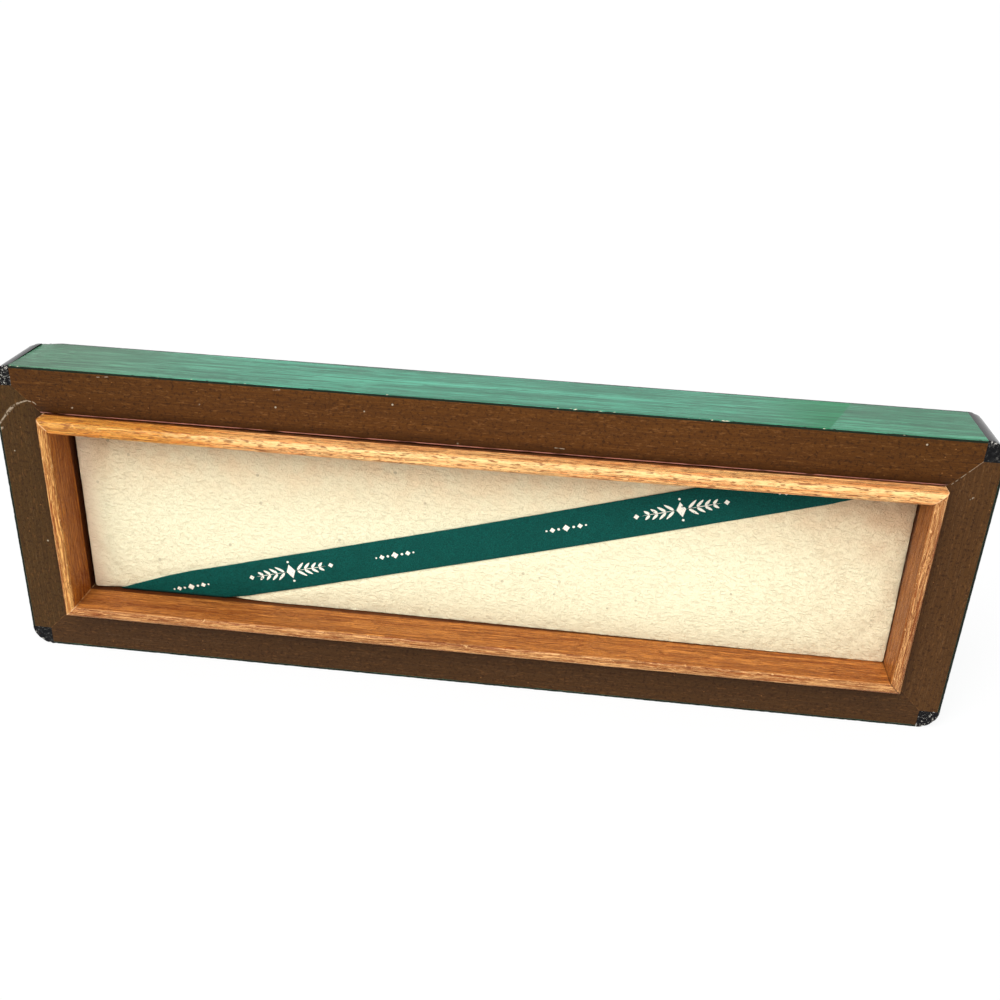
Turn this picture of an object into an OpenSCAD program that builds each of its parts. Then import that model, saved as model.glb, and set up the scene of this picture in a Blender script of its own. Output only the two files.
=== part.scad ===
// Tray half of a pocket watch display box, standing on its long edge.
// X runs along the box, Y from the open face to the back, Z up.
// The origin is under the middle of the box, on the surface that it stands on.

/* [Body] */
// Length of the box
box_length = 300; // [240:1:360]
// Height of the box as it stands
box_height = 100; // [90:1:140]
// Depth of the body, from the frame's face to the back
body_depth = 23; // [20:0.5:40]
// Width of a frame rail on the face, with its veneer
wall_w = 15; // [13:0.5:20]

/* [Lip] */
// Height of the liner above the frame's face
lip_h = 5.2; // [3:0.1:8]
// Thickness of the liner strips
liner_t = 3.6; // [3:0.1:6]
// Radius worn on the liner's nose
nose_r = 1.3; // [0.5:0.1:1.6]
// Least flat left on the nose between its two rounded edges
nose_flat = 0.2; // [0.1:0.1:1]

/* [Veneer and edging] */
// Thickness of the green veneer
veneer_t = 0.8; // [0.5:0.1:1]
// Size of the black bead in each corner
bead_size = 6.5; // [4:0.1:8]
// Size of the black stringing along the back edges
string_size = 1.2; // [1.1:0.1:2.5]
// Radius on the outer edge of the stringing
string_r = 0.9; // [0.4:0.1:1]
// Place along X of the joint between the two leaves of top veneer
seam_x = 104.5; // [-60:0.5:110]
// Lean of that joint from square, in degrees
seam_lean = 24; // [0:0.5:40]

/* [Base board] */
// Thickness of the base board
base_t = 5; // [3:0.1:6]
// Width of the rebate that the base board sits in
rebate_w = 6; // [4:0.5:8]
// Clearance around the base board in its rebate
base_clear = 0.1; // [0.05:0.05:0.3]
// Diameter of the panel pins
pin_d = 1.4; // [1:0.1:2]
// Diameter of a pin's head
pin_head_d = 2.4; // [2.2:0.1:3]
// Thickness of a pin's head
pin_head_t = 0.7; // [0.4:0.1:1]
// Length of the panel pins
pin_len = 12; // [8:0.5:14]
// Clearance around a pin in its hole
pin_clear = 0.05; // [0.02:0.01:0.1]
// Number of pins along each long rail
pins_long = 4; // [2:1:8]
// Number of pins along each short rail
pins_short = 2; // [1:1:3]
// Distance of the outer pins from the ends of the box
pin_inset = 30; // [24:1:40]

/* [Mitre tongues] */
// Thickness of the loose tongue in each mitre
tongue_t = 3; // [2:0.1:4]
// Length of a tongue across the mitre
tongue_across = 12; // [8:0.5:14]
// Wood left between a tongue and the rail's edges
tongue_margin = 1.5; // [1:0.1:2]
// Clearance around a tongue in its mortise
tongue_clear = 0.1; // [0.05:0.05:0.2]

/* [Padded panel] */
// Thickness of the board inside the panel
board_t = 3.2; // [2:0.1:4]
// Thickness of the foam on the board
foam_t = 3.2; // [2:0.1:5]
// Thickness of the leather
leather_t = 0.9; // [0.6:0.1:1.2]
// Width of leather turned in behind the board
turn_in = 10; // [6:0.5:14]
// Radius on the panel's front edges
pad_edge_r = 2.2; // [1.6:0.1:3]
// Gap between the panel and the liner
pad_gap = 0.6; // [0.6:0.05:1.2]
// Clearance around the packing card between the turned-in edges
card_clear = 0.2; // [0.1:0.05:0.5]

/* [Strap] */
// Width of the leather strap
strap_w = 12; // [8:0.5:20]
// Thickness of the strap
strap_t = 0.5; // [0.3:0.05:0.55]
// Angle of the strap across the panel
strap_angle = 15.6; // [13:0.1:40]
// Height of the strap's middle above the middle of the panel
strap_rise = -0.7; // [-6:0.1:6]
// How far the strap's ends go down the panel's sides
strap_turn = 5.5; // [3:0.1:7]

/* [Hidden] */
$fn = 64;
cut = 1;
half_l = box_length / 2;
mid_z = box_height / 2;

// Planes along Y, from the lip back
y_lip = -(body_depth + lip_h) / 2;
y_face = y_lip + lip_h;
y_back = y_face + body_depth;
y_veneer = y_back - veneer_t;
y_base = y_veneer - base_t;
y_string = y_back - string_size;

// The liner's inside, measured in from the box's outside
recess_inset = wall_w + liner_t;
nose = min(nose_r, (liner_t - nose_flat) / 2);

// The padded panel, which lies on the base board
pad_back = y_base;
pad_turned = pad_back - leather_t;
pad_foam_back = pad_turned - board_t;
pad_foam_front = pad_foam_back - foam_t;
pad_front = pad_foam_front - leather_t;
pad_x = half_l - recess_inset - pad_gap;
pad_z = mid_z - recess_inset - pad_gap;
core_x = pad_x - leather_t;
core_z = pad_z - leather_t;
window_x = core_x - turn_in;
window_z = core_z - turn_in;

// Mitre tongues: middle, and length along the mitre
tongue_inset = (bead_size + wall_w) / 2;
tongue_along = (wall_w - bead_size) * sqrt(2) - 2 * tongue_margin;
tongue_y = (y_face + y_base) / 2;

// Strap: where it reaches the rolled edge, and half its length round that edge
flat_z = pad_z - pad_edge_r;
strap_half_cross = strap_w / 2 / sin(strap_angle);
half_roll = PI / 4 * (pad_edge_r + strap_t / 2);

SIDES = ["top", "bottom", "left", "right"];

// Placing: each piece is drawn as if on the bottom, with its length along X
function half_side(side) = (side == "left" || side == "right") ? mid_z : half_l;

module on_side(side) {
    if (side == "bottom") children();
    if (side == "top") translate([0, 0, box_height]) mirror([0, 0, 1]) children();
    if (side == "left") translate([-half_l, 0, mid_z]) rotate([0, 90, 0]) children();
    if (side == "right") translate([half_l, 0, mid_z]) rotate([0, -90, 0]) children();
}

// sx and sz are -1 or 1: the corner at the left or right, bottom or top
module on_corner(sx, sz) {
    translate([sx * half_l, 0, mid_z + sz * mid_z])
        mirror([sx > 0 ? 1 : 0, 0, 0]) mirror([0, 0, sz > 0 ? 1 : 0]) children();
}

// A profile drawn as (depth, inset) becomes a strip along X
module along_x(half) {
    rotate([90, 0, 90]) linear_extrude(2 * half, center = true) children();
}

// A plan drawn as (x, z) becomes a plate between two depths
module between_y(y0, y1) {
    translate([0, y1, 0]) rotate([90, 0, 0]) linear_extrude(y1 - y0) children();
}

// A strip mitred at both ends, between two insets from the outside
module mitred(half, inset, width) {
    intersection() {
        along_x(half) children();
        between_y(y_lip - cut, y_back + cut) polygon([
            [-half + inset, inset],
            [half - inset, inset],
            [half - inset - width, inset + width],
            [-half + inset + width, inset + width]
        ]);
    }
}

// A square of this size at the outside corner, through the whole depth
module corner_notch() {
    translate([-cut, y_face - cut, -cut]) cube([bead_size + cut, body_depth + 2 * cut, bead_size + cut]);
}

// A tongue lies across the mitre with round ends; grow opens it into a mortise
module tongue_shape(grow) {
    end_r = tongue_t / 2;
    reach = tongue_across / 2 - end_r;
    translate([tongue_inset, tongue_y, tongue_inset]) rotate([0, -45, 0])
        rotate([90, 0, 90]) linear_extrude(tongue_along + 2 * grow, center = true) {
            square([tongue_t + 2 * grow, 2 * reach], center = true);
            for (s = [-1, 1]) translate([0, s * reach]) circle(r = end_r + grow);
        }
}

// The pins of one side, driven from the back through the board into the rail
module side_pins(side, grow) {
    half = half_side(side);
    count = half == half_l ? pins_long : pins_short;
    reach = half - pin_inset;
    step = count > 1 ? 2 * reach / (count - 1) : 0;
    start = count > 1 ? -reach : 0;
    on_side(side) for (i = [0 : count - 1])
        translate([start + i * step, y_veneer, wall_w - rebate_w / 2]) rotate([90, 0, 0]) {
            cylinder(d = pin_d + 2 * grow, h = pin_len + grow);
            cylinder(d = pin_head_d + 2 * grow, h = pin_head_t + grow);
        }
}

module all_pins(grow) {
    for (side = SIDES) side_pins(side, grow);
}

// Frame rails
module wall_profile() {
    difference() {
        translate([y_face, veneer_t]) square([y_veneer - y_face, wall_w - veneer_t]);
        translate([y_base, wall_w - rebate_w]) square([base_t + cut, rebate_w + cut]);
        translate([y_string, 0]) square([string_size + cut, string_size]);
    }
}

module wall(side) {
    half = half_side(side);
    color("saddlebrown") difference() {
        on_side(side) difference() {
            mitred(half, veneer_t, wall_w - veneer_t) wall_profile();
            for (s = [0, 1]) mirror([s, 0, 0]) translate([-half, 0, 0]) {
                corner_notch();
                tongue_shape(tongue_clear);
            }
        }
        side_pins(side, pin_clear);
    }
}

module tongue(sx, sz) {
    color("burlywood") on_corner(sx, sz) tongue_shape(0);
}

// Side veneers, which stop at the beads and at the back stringing
module veneer_strip(side) {
    half = half_side(side) - bead_size;
    translate([-half, y_face, 0]) cube([2 * half, y_string - y_face, veneer_t]);
}

module side_veneer(side) {
    color("mediumseagreen") on_side(side) veneer_strip(side);
}

// The part of the top veneer left of the slanted joint, or right of it
module top_leaf(side_of_seam) {
    run = (y_string - y_face) / 2;
    shift = (run + cut) * tan(seam_lean);
    far = side_of_seam * box_length;
    color("mediumseagreen") on_side("top") intersection() {
        veneer_strip("top");
        linear_extrude(veneer_t) translate([0, y_face + run]) polygon([
            [far, -run - cut],
            [seam_x - shift, -run - cut],
            [seam_x + shift, run + cut],
            [far, run + cut]
        ]);
    }
}

module back_veneer() {
    color("seagreen") between_y(y_veneer, y_back) difference() {
        translate([0, mid_z]) square([2 * (half_l - string_size), 2 * (mid_z - string_size)], center = true);
        for (sx = [-1, 1], sz = [-1, 1])
            translate([sx * half_l, mid_z + sz * mid_z]) square(2 * bead_size, center = true);
    }
}

// Black edging
module corner_bead(sx, sz) {
    color("black") on_corner(sx, sz) between_y(y_face, y_back) intersection() {
        square(bead_size);
        translate([bead_size, bead_size]) circle(r = bead_size);
    }
}

module back_edge(side) {
    color("black") on_side(side) along_x(half_side(side) - bead_size) difference() {
        translate([y_string, 0]) square(string_size);
        difference() {
            translate([y_back - string_r, 0]) square([string_r + cut, string_r]);
            translate([y_back - string_r, string_r]) circle(r = string_r);
        }
    }
}

// Liner strips, with the nose rounded on both edges
module liner_profile() {
    translate([y_lip + nose, wall_w]) square([y_base - y_lip - nose, liner_t]);
    translate([y_lip, wall_w + nose]) square([nose + cut, liner_t - 2 * nose]);
    for (z = [wall_w + nose, wall_w + liner_t - nose])
        translate([y_lip + nose, z]) circle(r = nose);
}

module liner(side) {
    color("chocolate") on_side(side) mitred(half_side(side), wall_w, liner_t) liner_profile();
}

// Base board in its rebate, with the pins through it
module base_board() {
    board_inset = wall_w - rebate_w + base_clear;
    color("tan") difference() {
        translate([board_inset - half_l, y_base, board_inset])
            cube([box_length - 2 * board_inset, base_t, box_height - 2 * board_inset]);
        all_pins(pin_clear);
    }
}

module base_pins() {
    color("silver") all_pins(0);
}

// Padded panel: a block with rolled front edges, from half sizes and depths
module rolled_profile(half, y0, y1, r) {
    translate([-half, y0 + r]) square([2 * half, y1 - y0 - r]);
    translate([-half + r, y0]) square([2 * (half - r), y1 - y0]);
    for (s = [-1, 1]) translate([s * (half - r), y0 + r]) circle(r = r);
}

module rolled_block(half_x, half_z, y0, y1, r) {
    intersection() {
        translate([0, 0, mid_z - half_z]) linear_extrude(2 * half_z) rolled_profile(half_x, y0, y1, r);
        translate([0, 0, mid_z]) rotate([0, -90, 0])
            linear_extrude(2 * half_x, center = true) rolled_profile(half_z, y0, y1, r);
    }
}

module plate(half_x, half_z, y0, y1) {
    translate([-half_x, y0, mid_z - half_z]) cube([2 * half_x, y1 - y0, 2 * half_z]);
}

module pad_board() {
    color("peru") plate(core_x, core_z, pad_foam_back, pad_turned);
}

module pad_foam() {
    color("ivory") rolled_block(core_x, core_z, pad_foam_front, pad_foam_back, pad_edge_r - leather_t);
}

module pad_cover() {
    color("wheat") difference() {
        rolled_block(pad_x, pad_z, pad_front, pad_back, pad_edge_r);
        rolled_block(core_x, core_z, pad_foam_front, pad_turned, pad_edge_r - leather_t);
        plate(window_x, window_z, pad_turned - cut, pad_back + cut);
    }
}

module packing_card() {
    color("gray") plate(window_x - card_clear, window_z - card_clear, pad_turned, pad_back);
}

// Strap: a shell over the panel, kept only inside the band's outline
module strap_shell() {
    translate([0, 0, mid_z]) rotate([0, -90, 0]) linear_extrude(2 * pad_x, center = true) difference() {
        rolled_profile(pad_z + strap_t, pad_front - strap_t, pad_back, pad_edge_r + strap_t);
        rolled_profile(pad_z, pad_front, pad_back + cut, pad_edge_r);
    }
}

// Place along X of the band's middle at a height above the panel's middle
function strap_x(z) = (z - strap_rise) / tan(strap_angle);

// Seen from the front the band ends halfway round the two rolled edges
module strap_band() {
    z_half = flat_z + (pad_edge_r + strap_t) * sin(45);
    x_half = half_roll / tan(strap_angle);
    between_y(pad_front - strap_t - cut, pad_front + pad_edge_r) translate([0, mid_z]) polygon([
        [strap_x(-flat_z) - strap_half_cross - x_half, -z_half],
        [strap_x(-flat_z) + strap_half_cross - x_half, -z_half],
        [strap_x(-flat_z) + strap_half_cross, -flat_z],
        [strap_x(flat_z) + strap_half_cross, flat_z],
        [strap_x(flat_z) + strap_half_cross + x_half, z_half],
        [strap_x(flat_z) - strap_half_cross + x_half, z_half],
        [strap_x(flat_z) - strap_half_cross, flat_z],
        [strap_x(-flat_z) - strap_half_cross, -flat_z]
    ]);
}

// From there it keeps its slant down the panel's side, where its end is cut off
module strap_end(s) {
    left = strap_x(s * flat_z) - strap_half_cross;
    right = left + 2 * strap_half_cross;
    y_half = pad_front + pad_edge_r - (pad_edge_r + strap_t) * cos(45);
    y_roll = pad_front + pad_edge_r;
    y_end = pad_front + strap_turn;
    x_half = s * half_roll / tan(strap_angle);
    x_roll = 2 * x_half;
    x_end = x_roll + s * (y_end - y_roll) / tan(strap_angle);
    z_low = flat_z + pad_edge_r * sin(45);
    translate([0, 0, mid_z + (s > 0 ? z_low : -pad_z - cut)]) linear_extrude(pad_z + cut - z_low) polygon([
        [left + x_half, y_half],
        [right + x_half, y_half],
        [right + x_roll, y_roll],
        [right + x_end, y_end],
        [left + x_end, y_end],
        [left + x_roll, y_roll]
    ]);
}

module strap() {
    color("darkslategray") intersection() {
        strap_shell();
        union() {
            strap_band();
            strap_end(1);
            strap_end(-1);
        }
    }
}

wall("top");  // top_wall
wall("bottom");  // bottom_wall
wall("left");  // left_wall
wall("right");  // right_wall
tongue(-1, 1);  // tongue_top_left
tongue(1, 1);  // tongue_top_right
tongue(-1, -1);  // tongue_bottom_left
tongue(1, -1);  // tongue_bottom_right
top_leaf(-1);  // top_veneer_long_leaf
top_leaf(1);  // top_veneer_short_leaf
side_veneer("bottom");  // bottom_veneer
side_veneer("left");  // left_veneer
side_veneer("right");  // right_veneer
back_veneer();
corner_bead(-1, 1);  // bead_top_left
corner_bead(1, 1);  // bead_top_right
corner_bead(-1, -1);  // bead_bottom_left
corner_bead(1, -1);  // bead_bottom_right
back_edge("top");  // back_edge_top
back_edge("bottom");  // back_edge_bottom
back_edge("left");  // back_edge_left
back_edge("right");  // back_edge_right
liner("top");  // liner_top
liner("bottom");  // liner_bottom
liner("left");  // liner_left
liner("right");  // liner_right
base_board();
base_pins();
pad_board();
pad_foam();
pad_cover();
packing_card();
strap();
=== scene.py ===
"""The tray half of a pocket watch display box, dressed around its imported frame."""

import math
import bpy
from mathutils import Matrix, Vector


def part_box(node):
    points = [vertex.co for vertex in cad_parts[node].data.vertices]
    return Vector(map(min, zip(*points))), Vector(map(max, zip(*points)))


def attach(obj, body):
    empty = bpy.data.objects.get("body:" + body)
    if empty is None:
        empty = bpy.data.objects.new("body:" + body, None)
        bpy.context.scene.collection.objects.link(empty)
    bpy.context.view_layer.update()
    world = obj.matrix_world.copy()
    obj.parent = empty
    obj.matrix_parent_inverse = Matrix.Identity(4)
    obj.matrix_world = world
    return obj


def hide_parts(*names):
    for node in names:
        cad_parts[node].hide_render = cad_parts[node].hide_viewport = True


bl_info = {
    "name": "Pocket Watch Display Box",
    "version": (1, 0, 0),
    "blender": (4, 5, 0),
    "location": "View3D > Sidebar > Display Box",
    "description": "Dresses the packed tray of a pocket watch display box in wood, veneer and leather",
    "category": "Object",
}

import bmesh
import bpy
import numpy as np
from bpy.props import FloatProperty, FloatVectorProperty, PointerProperty
from mathutils import Matrix, Vector, noise
from mathutils.bvhtree import BVHTree

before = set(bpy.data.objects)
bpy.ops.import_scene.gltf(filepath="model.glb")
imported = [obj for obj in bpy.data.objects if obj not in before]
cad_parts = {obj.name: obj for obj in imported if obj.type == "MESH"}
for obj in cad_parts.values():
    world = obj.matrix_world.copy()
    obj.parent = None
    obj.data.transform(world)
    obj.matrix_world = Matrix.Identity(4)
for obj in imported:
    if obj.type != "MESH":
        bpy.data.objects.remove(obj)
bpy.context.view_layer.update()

MM = 0.001
BODY = "root"
SIDES = ("top", "bottom", "left", "right")
CORNERS = {"top_left": (-1, 1), "top_right": (1, 1), "bottom_left": (-1, -1), "bottom_right": (1, -1)}


def low(node):
    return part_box(node)[0]


def high(node):
    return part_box(node)[1]


# Places read from the frame, in metres
HALF_LENGTH = high("bead_top_right").x
HEIGHT = high("bead_top_right").z
MIDDLE = HEIGHT / 2
LIP_FRONT = low("liner_top").y
FACE = low("top_wall").y
BACK = high("back_veneer").y
BASE = low("base_board").y
PLY = high("left_veneer").x + HALF_LENGTH
BEAD = high("bead_top_left").x + HALF_LENGTH
STRING = high("back_edge_bottom").z
STRING_FRONT = low("back_edge_top").y
RAIL_BACK = high("top_wall").y
RAIL_WIDTH = high("bottom_wall").z
LINER = high("liner_bottom").z - low("liner_bottom").z
REBATE = RAIL_WIDTH - low("base_board").z
PAD_LOW, PAD_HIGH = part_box("pad_cover")
HIDE = low("pad_foam").y - PAD_LOW.y
TURN_IN = low("packing_card").x - low("pad_foam").x
STRAP_LOW, STRAP_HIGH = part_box("strap")
STRAP_THICK = PAD_LOW.y - STRAP_LOW.y
STRAP_TURN = STRAP_HIGH.y - PAD_LOW.y
STRAP_SLANT = math.radians(15.6)
STRAP_RISE = -0.7 * MM
STRAP_WIDTH = 12.6 * MM
STRAP_CLEAR = 0.03 * MM
SEAM_LEAN = math.tan(math.radians(24))
SEAM = low("top_veneer_short_leaf").x + (STRING_FRONT - FACE) / 2 * SEAM_LEAN

# The camera that the photograph was taken with, in the frame's own metres
CAMERA_LENS = 39.893
CAMERA_PLACE = (0.03268, -0.30801, 0.21831)
CAMERA_RIGHT = (0.99350, 0.10640, 0.04030)
CAMERA_AHEAD = (-0.07740, 0.89170, -0.44600)
FLOOR_REACH = 12.0
FLOOR_DROP = 0.05 * MM
KEY_TOWARD, KEY_SPREAD = (0.18, 0.62, -0.76), 50.0
SIDE_TOWARD, SIDE_SPREAD = (0.85, 0.35, -0.40), 70.0

# How the padding is blown up
CLOTH_FRAMES = 20
CLOTH_SETTINGS = {
    "quality": 8,
    "mass": 0.3,
    "tension_stiffness": 12,
    "compression_stiffness": 12,
    "shear_stiffness": 6,
    "bending_stiffness": 0.4,
    "use_pressure": True,
    "uniform_pressure_force": 4.0,
    "vertex_group_mass": "held",
    "shrink_min": -0.003,
}

# Old knocks and scratches on the open face: points as (x, z), then the width, in mm
FACE_SCRATCHES = (
    ((-149.6, 80.2), (-146.6, 84.0), 0.8),
    ((-146.6, 84.0), (-144.4, 86.4), 1.2),
    ((-144.4, 86.4), (-142.0, 88.0), 0.9),
    ((-142.0, 88.0), (-139.6, 88.9), 0.6),
    ((-139.6, 88.9), (-137.6, 88.8), 0.5),
    ((-137.6, 88.8), (-136.2, 87.8), 0.4),
    ((-149.5, 78.4), (-148.6, 79.4), 1.0),
    ((136.4, 85.8), (143.6, 93.6), 0.22),
    ((142.6, 81.5), (143.3, 82.2), 0.60),
    ((-125.3, 87.6), (-124.9, 87.9), 0.55),
    ((-85.3, 92.1), (-84.8, 92.3), 0.60),
    ((-61.9, 98.6), (-59.9, 98.9), 0.30),
    ((-116.0, 98.4), (-112.5, 98.7), 0.30),
    ((22.2, 87.3), (25.0, 87.2), 0.35),
)

# How each rail's colour differs from the plain one, as shares of red, green and blue: painted light and shade
# for how light falls on each side
RAIL_LIGHT_CASTS = {
    "top": (0.89, 0.88, 0.68),
    "bottom": (0.56, 0.70, 1.04),
    "left": (0.58, 0.80, 1.00),
    "right": (0.72, 0.88, 1.20),
}
RAIL_FADE = (0.80, 0.80, 0.66)
# Painted light: the green top's colour towards its left and right ends, where its broad sheen falls off,
# greyer at the left
VENEER_LEFT_SHEEN_FALLOFF = (1.15, 0.67, 0.61)
VENEER_RIGHT_SHEEN_FALLOFF = (0.82, 0.78, 0.70)
# Painted light: the top liner strip's left end less lit
LINER_LESS_LIT = (0.84, 0.70, 0.34)
# Painted light: the left liner strip's colour shifted for the light on its side
LINER_LEFT_LIT_CAST = (1.12, 1.06, 0.80)

# Colours of dirt and wear, and of painted highlights, light and shade, in linear light
WHITE = (1.0, 1.0, 1.0)
CHALK = (0.86, 0.86, 0.86)
DUST = (0.50, 0.42, 0.30)
SCRATCHED = (0.56, 0.45, 0.32)
RAIL_BARE = (0.36, 0.20, 0.10)
VENEER_BARE = (0.62, 0.60, 0.42)
VENEER_CORE = (0.50, 0.46, 0.30)
INK = (0.008, 0.007, 0.005)
INK_GREEN = (0.010, 0.020, 0.013)
LACQUER_SCUFF = (0.024, 0.024, 0.025)
LACQUER_RUBBED = (0.46, 0.44, 0.40)
LACQUER_FLECK = (0.50, 0.48, 0.43)
# Painted highlight on the top liner strip's nose, and painted shade in its seat on the rail
LINER_HIGHLIGHT = (0.86, 0.63, 0.27)
LINER_SEAT_SHADE = (0.035, 0.005, 0.003)
LINER_DASH = (0.24, 0.075, 0.020)
# Painted shade on the liner's inner face by the panel
LINER_ROOT_SHADE = (0.035, 0.006, 0.002)
MITRE_PALE = (0.90, 0.56, 0.29)
MITRE_OPEN = (0.03, 0.01, 0.005)
# Painted light along the panel's left margin, against the liner's shadow there
HIDE_MARGIN_LIGHT = (1.0, 0.80, 0.56)
HIDE_DIRT = (0.32, 0.25, 0.15)
# Painted shade where the panel's leather turns into the gap by the liner
HIDE_GAP_SHADE = (0.06, 0.018, 0.009)
# Painted shade where the strap turns down against the liner
STRAP_TUCK_SHADE = (0.004, 0.006, 0.005)

FLOAT, VECTOR, COLOR = "NodeSocketFloat", "NodeSocketVector", "NodeSocketColor"
GEOMETRY, MATERIAL, OBJECT = "NodeSocketGeometry", "NodeSocketMaterial", "NodeSocketObject"


def length(name, description, default_mm, low_mm=0.0):
    """A size in metres whose default is written in millimetres."""
    span = {"default": default_mm * MM, "min": low_mm * MM}
    return FloatProperty(name=name, description=description, precision=5, unit="LENGTH", **span)


def paint(name, description, default):
    """A colour in linear light."""
    span = {"default": default, "size": 3, "min": 0.0, "max": 1.0}
    return FloatVectorProperty(name=name, description=description, subtype="COLOR", **span)


def strength(name, description, default):
    return FloatProperty(name=name, description=description, default=default, min=0.0)


class TraySizes(bpy.types.PropertyGroup):
    """Small sizes that the frame leaves to the dressing"""

    ring_spacing: length("Ring spacing", "Distance between the rings of a long strip", 0.75, 0.3)
    rail_arris: length("Rail arris", "Radius worn on the rails' inner edge", 0.8)
    veneer_arris: length("Veneer arris", "Radius worn on the veneer's front edge", 0.35)
    liner_nose: length("Liner nose", "Radius on both edges of the liner's nose", 1.3)
    liner_stout: length("Liner stout", "How much thicker the top liner strip's nose is", 0.8)
    liner_bow: length("Liner bow", "How far the top liner strip stands off its rail at mid length", 0.6)
    bead_arris: length("Bead arris", "Radius on the front edge of a corner bead", 0.25)
    bead_back: length("Bead back", "Radius on the back edge of a corner bead", 0.8)
    knocked_arris: length("Knocked corner", "Radius of the one back corner that is worn round", 2.6)
    chip_depth: length("Chip depth", "Depth of the chips along the sharp edges", 0.14)
    chip_size: length("Chip size", "Length of a chip", 1.3)
    pad_step: length("Pad step", "Size of a face of the padded panel before it is subdivided", 1.6, 1.0)
    pad_crown: length("Pad crown", "How far the padding lifts the leather", 0.75)
    pad_roll: length("Pad roll", "Radius on the panel's long and short edges", 0.32)
    pad_corner: length("Pad corner", "Radius of the panel's corners seen from the front", 0.3)
    pad_bulge: length("Pad bulge", "How far the padding pushes the leather towards the liner", 0.52)
    pad_full: length("Pad full", "How far the padding stands forward at the panel's lower right", 1.8)
    pad_shy: length("Pad shy", "How far the leather is drawn in from the liner on the left", 0.5)
    crease_depth: length("Crease depth", "Depth of the fine creases in the leather", 0.06)
    strap_press: length("Strap press", "How far the tight strap presses into the panel", 0.3)
    strap_edge: length("Strap edge", "Radius on the strap's cut edges", 0.14)
    stamp_pitch: length("Stamp pitch", "Distance between the large stamped figures", 128.4)
    stamp_side: length("Stamp side", "Distance from a large figure to the small one beside it", 36.0)
    stamp_lift: length("Stamp lift", "Thickness of the foil", 0.03)


class TrayColours(bpy.types.PropertyGroup):
    """Colours of the finishes"""

    rail_light: paint("Rail light", "Light grain of the stained rails", (0.128, 0.044, 0.007))
    rail_dark: paint("Rail dark", "Dark grain of the stained rails", (0.052, 0.017, 0.004))
    rail_fill: paint("Rail pores", "Filler that shows in the rails' pores", (0.290, 0.120, 0.035))
    # Painted highlight along the top rail's inner edge
    rail_arris: paint("Rail arris", "Painted highlight on the top rail's inner edge", (0.740, 0.370, 0.320))
    green_light: paint("Green light", "Light grain of the dyed veneer", (0.090, 0.425, 0.276))
    green_dark: paint("Green dark", "Dark grain of the dyed veneer", (0.034, 0.165, 0.098))
    green_deep: paint("Green deep", "Veneer beside its joint", (0.003, 0.160, 0.060))
    green_edge: paint("Green edge", "Cut edge of the veneer on the open face", (0.006, 0.009, 0.003))
    black: paint("Black lacquer", "Ebonised beads and stringing", (0.006, 0.006, 0.0065))
    mahogany_light: paint("Mahogany light", "Light grain of the liner", (0.600, 0.225, 0.046))
    mahogany_dark: paint("Mahogany dark", "Dark grain of the liner", (0.230, 0.055, 0.009))
    mahogany_pore: paint("Mahogany pores", "Open pores of the liner", (0.090, 0.020, 0.005))
    # Painted light: the top liner strip's grain in lighter, lit colours
    lit_liner_light: paint("Lit liner light", "Light grain of the top liner strip", (1.000, 0.590, 0.220))
    lit_liner_dark: paint("Lit liner dark", "Dark grain of the top liner strip", (0.780, 0.285, 0.082))
    # The liner's nose paler: rubbed wear and painted highlight
    mahogany_bare_and_lit: paint("Mahogany rubbed and lit", "Nose of the liner, rubbed paler and lit", (0.800, 0.490, 0.210))
    cream: paint("Cream leather", "Panel leather", (0.860, 0.805, 0.560))
    # Painted shade in the panel leather's creases
    cream_crease_shade: paint("Cream creases", "Creases of the panel leather", (0.660, 0.540, 0.310))
    cream_dim: paint("Cream shaded", "Panel leather under the top of the liner", (0.920, 0.580, 0.315))
    # Panel leather darkened towards the right and left edges
    cream_darkened: paint("Cream darkened", "Panel leather darkened towards its sides", (0.590, 0.370, 0.215))
    strap: paint("Green leather", "Strap leather", (0.002, 0.048, 0.039))
    foil: paint("Foil", "Stamped figures on the strap", (0.880, 0.840, 0.720))


class TrayLight(bpy.types.PropertyGroup):
    """The studio"""

    key: strength("Key", "Strength of the broad light from above", 3.75)
    side: strength("Side", "Strength of the light from the left", 0.4)
    sky: strength("Sky", "Strength of the light from all round", 0.32)
    floor_glow: strength("Floor glow", "Share of the floor that is plain white to the camera", 0.85)


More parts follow.
